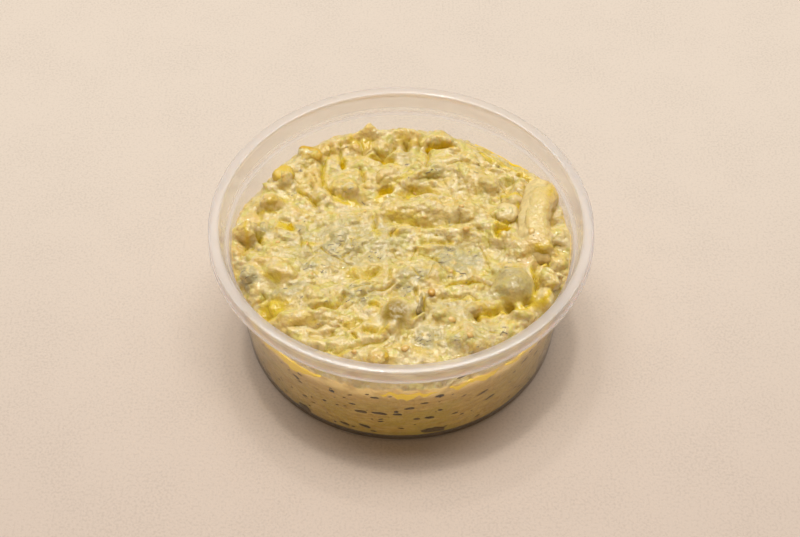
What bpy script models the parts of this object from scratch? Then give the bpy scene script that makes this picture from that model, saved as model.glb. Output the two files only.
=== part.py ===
"""A clear round deli tub filled with a chunky eggplant and mayonnaise salad.

Metres, +Z up. The origin is the centre of the foot that the tub stands on, and +Y points away from
the side that faces the viewer. Two bodies are made: the turned plastic tub, and the salad, a heap
that fills the tub to an uneven line and stands proud in folds, furrows and lumps, with the larger
pieces of eggplant and the seeds that show fused onto it.
"""

import math
import random

import bmesh
import bpy
import numpy as np
from mathutils import Matrix, Vector, noise

MM = 0.001
SEED = 11

# ---- tub, a thin moulding (sizes in millimetres) ----
TUB_HEIGHT = 47.0
RIM_RADIUS = 59.0
RIM_INNER_RADIUS = 55.5
RIM_ROUND = 0.8
SKIRT_DEPTH = 4.6
SKIRT_LIP = 0.25
PLASTIC = 0.6
LEDGE_HEIGHT = 40.2
LEDGE_OUTER_RADIUS = 53.9
LEDGE_WIDTH = 0.9
LEDGE_DROP = 0.6
WALL_BOTTOM_RADIUS = 49.3
CORNER_RADIUS = 1.6
FOOT_INNER_RADIUS = 44.6
FOOT_SLOPE = 1.2
BASE_LIFT = 0.9
TURNS = 56
ARC_STEPS = 2

# ---- salad (sizes in millimetres) ----
SALAD_GAP = 0.3
SALAD_LEVEL = 34.7
GRID_CELLS = 52
GRID_HALF = 55.0
BLOCK_BOTTOM = -6.0
FILL_TOP = 52.0
SHORTEST_EDGE = 0.05
WALL_SLOPE_WIDTH = 5.0

# Broad and narrow waves of the heap's surface: width and height.
WOBBLES = ((14.0, 1.6), (6.0, 1.3))

# Height of the line where the salad meets the wall, every 15 degrees round from +X.
WALL_LEVELS = (
    *(35.5, 34.8, 36.2, 30.3, 31.8, 32.2, 31.4, 33.4),
    *(33.8, 33.6, 30.8, 35.0, 35.5, 29.5, 24.0, 24.2),
    *(24.5, 25.3, 26.0, 25.8, 25.5, 25.3, 25.0, 31.0),
)

# Spoon folds: crest points, half-width, height. The side to the right of a crest's run is steeper,
# and narrower than the left one by this share.
STEEPER_SIDE = 0.5
FOLDS = {
    "middle_fold": (((-4.7, 11), (2, 13.8), (8, 14), (14, 12.6), (20, 10), (26, 6.6), (30, 2)), 8.0, 3.5),
    "upper_fold": (((2, 26.5), (10, 30), (20, 28.5), (28, 22)), 7.5, 2.1),
    "near_left_fold": (((-35, -31), (-30, -30.5), (-18, -31), (-12.7, -29.6), (-7, -26)), 5.5, 2.0),
    "near_fold": (((-30, -38.5), (-17, -38.8), (-10, -37.8), (-2, -37)), 4.5, 1.4),
    "front_fold": (((-15, -46), (-6, -45.2), (3, -45.5), (12, -45.5)), 4.5, 1.6),
    "far_fold": (((-22, 43.5), (-11, 46), (3, 45), (18, 42)), 5.5, 2.6),
    "far_left_fold": (((-44, 21), (-38, 28), (-31, 37)), 5.0, 2.0),
    "left_fold": (((-48, -7), (-40, -10), (-33, -9), (-24, -10)), 4.5, 1.8),
    "furrow_mound": (((-21, 33), (-20, 25.5), (-17, 19.5)), 8.0, 1.2),
    "swirl": (((-22, -20.5), (-10, -16.5), (3, -12), (12, -14)), 3.5, 1.2),
    "right_near_fold": (((21, -37), (29, -34), (37, -31.6), (42, -29)), 5.0, 1.3),
}

# Furrows and pits: line points, half-width, depth.
FURROWS = {
    "hook_furrow": (((-24.9, 38.3), (-25.9, 31.5), (-24.5, 24.8), (-21.5, 20.4), (-13.5, 17)), 2.0, 1.6),
    "near_right_furrow": (((22, -29.8), (27.6, -27.4), (32.8, -26), (37.4, -24.7), (41.4, -23)), 2.4, 3.4),
    "left_gap": (((-44, 3.5), (-47, -2)), 2.4, 3.6),
    "left_near_gap": (((-42.6, -13.5), (-40, -16), (-37, -16.8), (-34.6, -15.8)), 2.2, 1.8),
    "oil_pit": (((-40.5, -21.5), (-39.2, -26)), 4.0, 3.6),
    "slab_furrow": (((35.5, 25), (32.5, 20), (35.5, 7), (31, 2)), 2.4, 2.4),
    "far_furrow": (((7, 43.5), (19, 42)), 2.0, 2.8),
    "fold_pocket": (((0.5, 18.6), (3.5, 19), (6.7, 20.8), (9.9, 20.4)), 2.2, 2.0),
    "far_pocket": (((-9, 38), (-2, 35)), 2.4, 3.0),
    "right_gap": (((42.6, -3.1), (44.9, -5.2), (47, -6.5), (46, -12)), 2.2, 2.8),
    "right_seam": (((41.5, -9), (41.3, -16.5), (41, -21)), 1.8, 3.0),
    "under_fold": (((-3, 8.2), (3, 6.6), (17, 5.6), (25, 4)), 2.6, 1.4),
    "upper_pocket": (((-6, 23.5), (-2, 27.5)), 2.2, 2.2),
    "front_gap": (((-34, -34.4), (-24, -35), (-14, -36)), 2.0, 1.0),
}

# Small lumps of mashed eggplant all over: how many, how far out, their least and greatest radius,
# and their height as a share of it.
LUMPS = 300
LUMPS_REACH = 51.0
LUMP_RADII = (2.2, 4.6)
LUMP_HEIGHT = 0.42

# Larger pieces that stand out of the heap: centre, half-sizes, turn in degrees, how far the middle
# stands above the surface, as a share of the half-height.
PIECES = {
    "skin_piece": ((34.4, -17.6), (5.6, 6.6, 4.6), 20, 0.16),
    "brown_piece": ((-0.3, -29.5), (5.6, 5.0, 4.4), 15, 0.30),
    "curled_skin": ((5.6, -27.3), (1.7, 5.0, 3.6), -12, 0.55),
    "pale_round": ((33.2, 10.0), (3.6, 3.3, 2.8), 0, 0.40),
    "slab_foot": ((37.0, -3.2), (4.6, 4.2, 3.0), 40, 0.20),
    "orange_far": ((-29.8, 37.5), (3.8, 2.0, 2.0), -10, 0.45),
    "orange_left": ((-37.5, 26.5), (2.9, 2.8, 2.4), 0, 0.50),
    "pink_left": ((-41.5, 16.0), (3.2, 2.6, 2.2), 30, 0.40),
    "far_crumb": ((-10.2, 47.3), (2.2, 1.8, 1.8), 0, 0.50),
    "far_lump": ((-13.4, 41.3), (3.6, 2.8, 2.4), 20, 0.35),
    "right_lump_a": ((48.4, 1.5), (2.5, 3.6, 2.4), 0, 0.30),
    "right_lump_b": ((47.5, -7.5), (3.2, 3.0, 2.6), 0, 0.35),
    "right_lump_c": ((45.0, -15.5), (3.2, 3.8, 2.8), 10, 0.35),
    "right_lump_d": ((42.6, -22.5), (3.0, 3.2, 2.4), -20, 0.30),
    "left_lump_a": ((-47.5, 3.5), (3.4, 3.2, 2.8), 0, 0.40),
    "left_lump_b": ((-37.6, -12.0), (4.4, 3.2, 2.2), -15, 0.15),
    "grey_left": ((-46.0, -13.0), (2.8, 2.6, 2.2), 0, 0.35),
    "left_swirl_lump": ((-24.3, -24.8), (4.4, 3.0, 2.2), 10, 0.15),
    "fold_end": ((-3.6, 7.8), (3.8, 2.6, 1.8), 35, 0.10),
    "upper_lump": ((27.5, 23.8), (4.2, 3.0, 2.4), -35, 0.20),
    "hook_lump": ((-17.8, 25.8), (4.6, 5.0, 2.0), 10, 0.10),
}
PIECE_ROUGHNESS = 0.32
ROUGHNESS_WIDTH = 0.6

# Smaller pieces between them, by a seeded draw: how many, how far out and apart, half-sizes.
SCATTERED_PIECES = 24
SCATTERED_REACH = 47.0
SCATTERED_SPACING = 7.5
SCATTERED_SIZES = (1.7, 3.0)
SCATTERED_FLATTENING = 0.75
SCATTERED_STANDS = 0.3

# The strip of eggplant that lies along the right wall: its two ends, half-width, half-height.
SLAB_ENDS = ((44.2, 22.5), (41.0, -5.5))
SLAB_HALF_WIDTH = 4.0
SLAB_HALF_HEIGHT = 4.0
SLAB_RISE = 1.2
SLAB_BOW = 1.4
SLAB_UNEVEN = 1.1
SLAB_WAVE = 6.0
SLAB_EDGE = 2.4
SLAB_CUTS = 7

# Seeds that lie on the heap.
SEEDS = (
    (9.4, -20.3),
    (15, -32),
    (20.3, 3.6),
    (40.2, 0.6),
    (1.3, -42.7),
    (-29, -1),
    (20.5, -39.3),
    (-27, -13.7),
    (-11.4, 12.5),
    (19, 11.3),
)
SEED_RADIUS = 1.25
SEED_STANDS = 0.7


def smooth_step(share):
    """0 to 1 along a smooth S, for a share that may lie outside 0 to 1."""
    held = np.clip(share, 0.0, 1.0)
    return held * held * (3.0 - 2.0 * held)


def material(name, colour, roughness, alpha=1.0, transmission=0.0):
    made = bpy.data.materials.new(name)
    made.use_nodes = True
    shader = made.node_tree.nodes["Principled BSDF"]
    shader.inputs["Base Color"].default_value = (*colour, 1.0)
    shader.inputs["Roughness"].default_value = roughness
    shader.inputs["Metallic"].default_value = 0.0
    shader.inputs["Alpha"].default_value = alpha
    shader.inputs["Transmission Weight"].default_value = transmission
    return made


def new_object(name, mesh, collection, finish=None):
    made = bpy.data.objects.new(name, mesh)
    collection.objects.link(made)
    if finish is not None:
        mesh.materials.append(finish)
    return made


def mesh_of(bm, name):
    mesh = bpy.data.meshes.new(name)
    bm.to_mesh(mesh)
    bm.free()
    return mesh


def arc(centre, radius, start, end, steps=ARC_STEPS):
    """Points of a round stretch of a section, from start to end degrees."""
    points = []
    for step in range(steps + 1):
        angle = math.radians(start + (end - start) * step / steps)
        points.append((centre[0] + radius * math.cos(angle), centre[1] + radius * math.sin(angle)))
    return points


def turned(name, section, collection, finish=None):
    """A solid turned about Z from a section of (radius, height) points in millimetres."""
    bm = bmesh.new()
    last = None
    for radius, height in section:
        point = bm.verts.new((radius * MM, 0.0, height * MM))
        if last is not None:
            bm.edges.new((last, point))
        last = point
    made = new_object(name, mesh_of(bm, name), collection, finish)
    screw = made.modifiers.new("Turn", "SCREW")
    screw.axis = "Z"
    screw.angle = math.tau
    screw.steps = TURNS
    screw.render_steps = TURNS
    screw.use_merge_vertices = True
    screw.merge_threshold = 0.000005
    screw.use_smooth_shade = True
    return made


def wall_radius(height):
    """Radius of the tub's inner wall below the ledge, at a height."""
    low = PLASTIC + CORNER_RADIUS
    share = (height - low) / (LEDGE_HEIGHT - LEDGE_DROP - low)
    return WALL_BOTTOM_RADIUS + (LEDGE_OUTER_RADIUS - LEDGE_WIDTH - WALL_BOTTOM_RADIUS) * share


def tub_section():
    """The tub's section, from the middle of its floor, up the inside, over the rim and down the outside."""
    floor = BASE_LIFT + PLASTIC
    corner = CORNER_RADIUS
    ledge_inner = LEDGE_OUTER_RADIUS - LEDGE_WIDTH
    inside = [(0.0, floor), (FOOT_INNER_RADIUS - FOOT_SLOPE, floor), (FOOT_INNER_RADIUS, PLASTIC)]
    inside += arc((WALL_BOTTOM_RADIUS - corner, PLASTIC + corner), corner, -90, 0)
    inside += [(ledge_inner, LEDGE_HEIGHT - LEDGE_DROP), (LEDGE_OUTER_RADIUS, LEDGE_HEIGHT)]
    rim_centre = (RIM_INNER_RADIUS + RIM_ROUND, TUB_HEIGHT - RIM_ROUND)
    inside += arc(rim_centre, RIM_ROUND, 180, 90, 2)
    edge_centre = (RIM_RADIUS - RIM_ROUND, TUB_HEIGHT - RIM_ROUND)
    outside = arc(edge_centre, RIM_ROUND, 90, 0, 2)
    skirt_foot = TUB_HEIGHT - SKIRT_DEPTH
    outside += [
        (RIM_RADIUS, skirt_foot + 2 * SKIRT_LIP),
        (RIM_RADIUS + SKIRT_LIP, skirt_foot + SKIRT_LIP),
        (RIM_RADIUS, skirt_foot),
        (RIM_RADIUS - PLASTIC, skirt_foot),
        (RIM_RADIUS - PLASTIC, TUB_HEIGHT - PLASTIC - RIM_ROUND / 2),
        (RIM_RADIUS - PLASTIC - RIM_ROUND / 2, TUB_HEIGHT - PLASTIC),
        (RIM_INNER_RADIUS + PLASTIC + RIM_ROUND / 2, TUB_HEIGHT - PLASTIC),
        (RIM_INNER_RADIUS + PLASTIC, TUB_HEIGHT - PLASTIC - RIM_ROUND / 2),
        (LEDGE_OUTER_RADIUS + PLASTIC, LEDGE_HEIGHT - PLASTIC / 2),
        (ledge_inner + PLASTIC, LEDGE_HEIGHT - LEDGE_DROP - PLASTIC / 2),
    ]
    outer_corner = corner + PLASTIC
    outside += arc((WALL_BOTTOM_RADIUS - corner, outer_corner), outer_corner, 0, -90)
    outside += [(FOOT_INNER_RADIUS, 0.0), (FOOT_INNER_RADIUS - FOOT_SLOPE, BASE_LIFT), (0.0, BASE_LIFT)]
    return inside + outside


def make_tub(collection):
    clear = material("clear_plastic", (0.90, 0.88, 0.84), 0.12, alpha=0.35, transmission=0.8)
    return turned("tub", tub_section(), collection, clear)


def fill_section():
    """The room that the salad may take: the inside of the tub, less a gap, and open above."""
    floor = BASE_LIFT + PLASTIC + SALAD_GAP
    corner = (WALL_BOTTOM_RADIUS - SALAD_GAP - CORNER_RADIUS, floor + CORNER_RADIUS)
    top = (wall_radius(FILL_TOP) - SALAD_GAP, FILL_TOP)
    return [(0.0, FILL_TOP), top, *arc(corner, CORNER_RADIUS, 0, -90), (0.0, floor)]


def wall_level(angle):
    """Height of the salad's edge on the wall in a direction, read smoothly between the stated ones."""
    place = angle / (math.tau / len(WALL_LEVELS))
    first = np.floor(place).astype(int)
    levels = np.array(WALL_LEVELS)
    low = levels[first % len(levels)]
    high = levels[(first + 1) % len(levels)]
    return low + (high - low) * smooth_step(place - first)


def across_line(x, y, points):
    """Distance of each place from a line of points, and how far to its left, -1 to 1, the place lies."""
    nearest = np.full_like(x, np.inf)
    side = np.zeros_like(x)
    for (ax, ay), (bx, by) in zip(points, points[1:]):
        run_x, run_y = bx - ax, by - ay
        share = ((x - ax) * run_x + (y - ay) * run_y) / (run_x**2 + run_y**2)
        share = np.clip(share, 0.0, 1.0)
        off_x, off_y = x - ax - share * run_x, y - ay - share * run_y
        distance = np.hypot(off_x, off_y)
        closer = distance < nearest
        turn = (run_x * off_y - run_y * off_x) / (np.hypot(run_x, run_y) * np.maximum(distance, 0.01))
        side = np.where(closer, turn, side)
        nearest = np.where(closer, distance, nearest)
    return nearest, side


def wobble(x, y, width):
    """Smooth random waves of about one width, from -1 to 1."""
    return np.array([noise.noise(Vector((a / width, b / width, SEED))) for a, b in zip(x, y)])


def heap_without_lumps(x, y):
    """The salad's main form: a heap that falls to the wall line, with its folds and furrows."""
    radius = np.hypot(x, y)
    rim = wall_level(np.arctan2(y, x))
    level = SALAD_LEVEL + sum(size * wobble(x, y, width) for width, size in WOBBLES)
    for points, half_width, height in FOLDS.values():
        distance, side = across_line(x, y, points)
        reach = half_width * (1.0 - STEEPER_SIDE * (1.0 - side) / 2)
        level = level + height * smooth_step(1.0 - distance / reach)
    for points, half_width, depth in FURROWS.values():
        distance, _ = across_line(x, y, points)
        level = level - depth * smooth_step(1.0 - distance / half_width)
    inner = wall_radius(SALAD_LEVEL) - SALAD_GAP
    share = smooth_step((inner - radius) / WALL_SLOPE_WIDTH)
    return rim + (level - rim) * share


def place_in_disc(draw, reach):
    """A drawn place, spread evenly over a disc."""
    angle = draw.uniform(0.0, math.tau)
    out = reach * math.sqrt(draw.random())
    return out * math.cos(angle), out * math.sin(angle)


def lump_rows(draw):
    """Place, radius and height of each small lump, from one seeded draw."""
    rows = []
    for _ in range(LUMPS):
        x, y = place_in_disc(draw, LUMPS_REACH)
        radius = draw.uniform(*LUMP_RADII)
        height = radius * LUMP_HEIGHT * draw.uniform(0.5, 1.0)
        rows.append((x, y, radius, height))
    return rows


class Heap:
    """The salad's top surface as a height over each place, in millimetres."""

    def __init__(self):
        self.lumps = lump_rows(random.Random(SEED))

    def heights(self, x, y):
        lift = np.zeros_like(x)
        for at_x, at_y, radius, height in self.lumps:
            inside = 1.0 - ((x - at_x) ** 2 + (y - at_y) ** 2) / radius**2
            lift = np.maximum(lift, height * np.sqrt(np.clip(inside, 0.0, 1.0)))
        return heap_without_lumps(x, y) + lift

    def height(self, x, y):
        return float(self.heights(np.array([float(x)]), np.array([float(y)]))[0])


def make_block(heap, collection):
    """A block with the heap's relief on top, wider and deeper than the tub's inside."""
    bm = bmesh.new()
    bmesh.ops.create_grid(bm, x_segments=GRID_CELLS, y_segments=GRID_CELLS, size=GRID_HALF)
    x = np.array([v.co.x for v in bm.verts])
    y = np.array([v.co.y for v in bm.verts])
    heights = heap.heights(x, y)
    top = list(bm.verts)
    grown = bmesh.ops.extrude_face_region(bm, geom=list(bm.faces))
    bottom = [g for g in grown["geom"] if isinstance(g, bmesh.types.BMVert)]
    for vert in bottom:
        vert.co.z = BLOCK_BOTTOM
    for vert, height in zip(top, heights):
        vert.co.z = height
    bmesh.ops.scale(bm, vec=(MM, MM, MM), verts=bm.verts)
    bmesh.ops.recalc_face_normals(bm, faces=bm.faces)
    return new_object("salad", mesh_of(bm, "salad"), collection)


def roughen(bm, number):
    """Pushes a unit shape's points in and out, so that no two pieces are alike."""
    for vert in bm.verts:
        shift = noise.noise(vert.co / ROUGHNESS_WIDTH + Vector((number, 0.0, SEED)) * math.pi)
        vert.co *= 1.0 + PIECE_ROUGHNESS * shift


def make_piece(name, heap, row, collection, subdivisions=2):
    """A rounded, uneven lump sunk part of the way into the heap."""
    (x, y), (half_x, half_y, half_z), turn, stands = row
    bm = bmesh.new()
    bmesh.ops.create_icosphere(bm, subdivisions=subdivisions, radius=1.0)
    roughen(bm, len(collection.objects))
    height = heap.height(x, y) + stands * half_z
    place = Matrix.Translation(Vector((x, y, height)) * MM)
    spin = Matrix.Rotation(math.radians(turn), 4, "Z")
    size = Matrix.Diagonal((half_x * MM, half_y * MM, half_z * MM, 1.0))
    bm.transform(place @ spin @ size)
    return new_object(name, mesh_of(bm, name), collection)


def make_slab(heap, collection):
    """A strip of eggplant with rounded edges, bowed along its length, lying by the right wall."""
    (ax, ay), (bx, by) = SLAB_ENDS
    length = math.hypot(bx - ax, by - ay)
    bm = bmesh.new()
    bmesh.ops.create_cube(bm, size=1.0)
    along = [e for e in bm.edges if abs(e.verts[0].co.y - e.verts[1].co.y) > 0.5]
    bmesh.ops.subdivide_edges(bm, edges=along, cuts=SLAB_CUTS, use_grid_fill=True)
    bmesh.ops.scale(bm, vec=(2 * SLAB_HALF_WIDTH, length, 2 * SLAB_HALF_HEIGHT), verts=bm.verts)
    bmesh.ops.bevel(
        bm,
        geom=[e for e in bm.edges if e.calc_face_angle(0.0) > 1.0],
        offset=SLAB_EDGE,
        segments=2,
        profile=0.5,
        affect="EDGES",
    )
    middle = heap.height((ax + bx) / 2, (ay + by) / 2)
    for vert in bm.verts:
        share = 2.0 * vert.co.y / length
        uneven = noise.noise_vector(vert.co / SLAB_WAVE + Vector((0.0, 0.0, SEED)))
        vert.co += uneven * SLAB_UNEVEN
        vert.co.z += SLAB_BOW * (0.5 - share * share)
        vert.co.x += SLAB_BOW * share * share
    turn = math.atan2(ax - bx, by - ay) + math.pi
    place = Matrix.Translation(Vector(((ax + bx) / 2, (ay + by) / 2, middle + SLAB_RISE)))
    bm.transform(Matrix.Diagonal((MM, MM, MM, 1.0)) @ place @ Matrix.Rotation(turn, 4, "Z"))
    bmesh.ops.recalc_face_normals(bm, faces=bm.faces)
    return new_object("slab", mesh_of(bm, "slab"), collection)


def scattered_rows(draw):
    """Rows like those of PIECES for the smaller pieces, spread over the heap by a seeded draw."""
    rows = []
    while len(rows) < SCATTERED_PIECES:
        place = place_in_disc(draw, SCATTERED_REACH)
        spaced = all(math.dist(place, row[0]) > SCATTERED_SPACING for row in rows)
        if spaced:
            half = [draw.uniform(*SCATTERED_SIZES) for _ in range(3)]
            half[2] *= SCATTERED_FLATTENING
            rows.append((place, half, draw.uniform(0.0, 180.0), SCATTERED_STANDS))
    return rows


def apply_modifiers(obj):
    graph = bpy.context.evaluated_depsgraph_get()
    mesh = bpy.data.meshes.new_from_object(obj.evaluated_get(graph))
    obj.modifiers.clear()
    obj.data = mesh


def boolean(obj, operation, solver, other=None, collection=None):
    cut = obj.modifiers.new("Join", "BOOLEAN")
    cut.operation = operation
    cut.solver = solver
    if collection is None:
        cut.object = other
    else:
        cut.operand_type = "COLLECTION"
        cut.collection = collection
    apply_modifiers(obj)


def keep_main_body(obj):
    """Merges slivers, drops loose scraps and fills sealed hollows: only the largest shell is kept."""
    bm = bmesh.new()
    bm.from_mesh(obj.data)
    bmesh.ops.remove_doubles(bm, verts=bm.verts, dist=SHORTEST_EDGE * MM)
    bmesh.ops.dissolve_degenerate(bm, edges=bm.edges, dist=SHORTEST_EDGE * MM)
    unseen = set(bm.faces)
    shells = []
    while unseen:
        front = [unseen.pop()]
        shell = []
        while front:
            face = front.pop()
            shell.append(face)
            for edge in face.edges:
                for near in edge.link_faces:
                    if near in unseen:
                        unseen.discard(near)
                        front.append(near)
        shells.append(shell)
    shells.sort(key=len)
    for shell in shells[:-1]:
        bmesh.ops.delete(bm, geom=shell, context="FACES")
    bm.to_mesh(obj.data)
    bm.free()


def make_salad(collection, helpers):
    heap = Heap()
    salad = make_block(heap, collection)
    for name, row in PIECES.items():
        make_piece(name, heap, row, helpers)
    for number, row in enumerate(scattered_rows(random.Random(SEED + 1))):
        make_piece(f"scattered_{number}", heap, row, helpers)
    for number, place in enumerate(SEEDS):
        row = (place, (SEED_RADIUS, SEED_RADIUS, SEED_RADIUS), 0.0, SEED_STANDS)
        make_piece(f"seed_{number}", heap, row, helpers, subdivisions=1)
    make_slab(heap, helpers)
    boolean(salad, "UNION", "MANIFOLD", collection=helpers)
    for helper in list(helpers.objects):
        bpy.data.objects.remove(helper)
    room = turned("salad_room", fill_section(), helpers)
    boolean(salad, "INTERSECT", "MANIFOLD", other=room)
    bpy.data.objects.remove(room)
    keep_main_body(salad)
    salad.data.materials.append(material("salad", (0.78, 0.64, 0.28), 0.35))
    return salad


def main():
    for obj in list(bpy.data.objects):
        bpy.data.objects.remove(obj)
    scene = bpy.context.scene.collection
    whole = bpy.data.collections.new("eggplant_mayonnaise_salad")
    helpers = bpy.data.collections.new("fused_pieces")
    scene.children.link(whole)
    scene.children.link(helpers)
    make_tub(whole)
    make_salad(whole, helpers)


main()
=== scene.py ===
"""Looks for a clear deli tub of eggplant and mayonnaise salad.

The tub is a smooth thin moulding in clear, slightly milky plastic. The salad keeps the form of its
CAD solid: that solid is fused with many small lumps of mash, its side is pressed flat against the
wall, and seeds, orange bits, flecks of skin and pools of oil lie in and on it.
"""

import math
import random

import bmesh
import bpy
import numpy as np
from mathutils import Matrix, Vector, noise
from mathutils.bvhtree import BVHTree


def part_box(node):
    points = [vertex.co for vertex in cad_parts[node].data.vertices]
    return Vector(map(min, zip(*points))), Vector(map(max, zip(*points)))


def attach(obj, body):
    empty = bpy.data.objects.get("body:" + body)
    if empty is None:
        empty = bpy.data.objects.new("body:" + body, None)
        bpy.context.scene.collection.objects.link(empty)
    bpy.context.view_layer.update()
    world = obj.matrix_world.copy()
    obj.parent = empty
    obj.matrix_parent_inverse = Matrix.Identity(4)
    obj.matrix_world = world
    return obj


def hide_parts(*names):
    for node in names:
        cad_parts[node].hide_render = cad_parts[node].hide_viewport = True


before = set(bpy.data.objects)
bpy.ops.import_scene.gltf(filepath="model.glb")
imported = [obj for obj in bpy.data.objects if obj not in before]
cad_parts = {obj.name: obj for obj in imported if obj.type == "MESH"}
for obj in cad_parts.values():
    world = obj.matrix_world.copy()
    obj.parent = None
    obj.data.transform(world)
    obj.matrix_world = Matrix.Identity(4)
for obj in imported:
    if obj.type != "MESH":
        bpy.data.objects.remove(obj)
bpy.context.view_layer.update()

MM = 0.001
SEED = 7

# ---- tub, sizes in millimetres ----
TUB_LOW, TUB_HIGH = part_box("tub")
RIM_RADIUS = 58.92
RIM_TOP_RADIUS = 58.85
TUB_HEIGHT = TUB_HIGH.z / MM
RIM_INNER_RADIUS = 55.5
RIM_ROUND = 0.5
SKIRT_DEPTH = 4.6
SKIRT_LIP = 0.3
PLASTIC = 0.6
LEDGE_HEIGHT = 40.2
LEDGE_OUTER_RADIUS = 53.9
LEDGE_WIDTH = 0.9
LEDGE_DROP = 0.6
WALL_BOTTOM_RADIUS = 49.3
CORNER_RADIUS = 0.8
FOOT_INNER_RADIUS = 44.6
FOOT_SLOPE = 1.2
BASE_LIFT = 0.9
TUB_SIDES = 180
WALL_FOOT = PLASTIC + CORNER_RADIUS
WALL_TOP_RADIUS = LEDGE_OUTER_RADIUS - LEDGE_WIDTH
WALL_SLOPE = (WALL_TOP_RADIUS - WALL_BOTTOM_RADIUS) / (LEDGE_HEIGHT - LEDGE_DROP - WALL_FOOT)

# ---- salad, sizes in millimetres ----
CORE_VOXEL = 0.8
FUSE_VOXEL = 0.38
HEAP_FACES = 192000
HEAP_REACH = 51.5
STRETCHED_WITHIN = 4.5
PRESSED_WITHIN = 1.0
PRESSED_DEPTH = 0.12

# Places on the heap are given as they are seen from the camera on this level, and then slid along
# the line of sight to where the salad lies.
SEEN_LEVEL = 36.0

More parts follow.
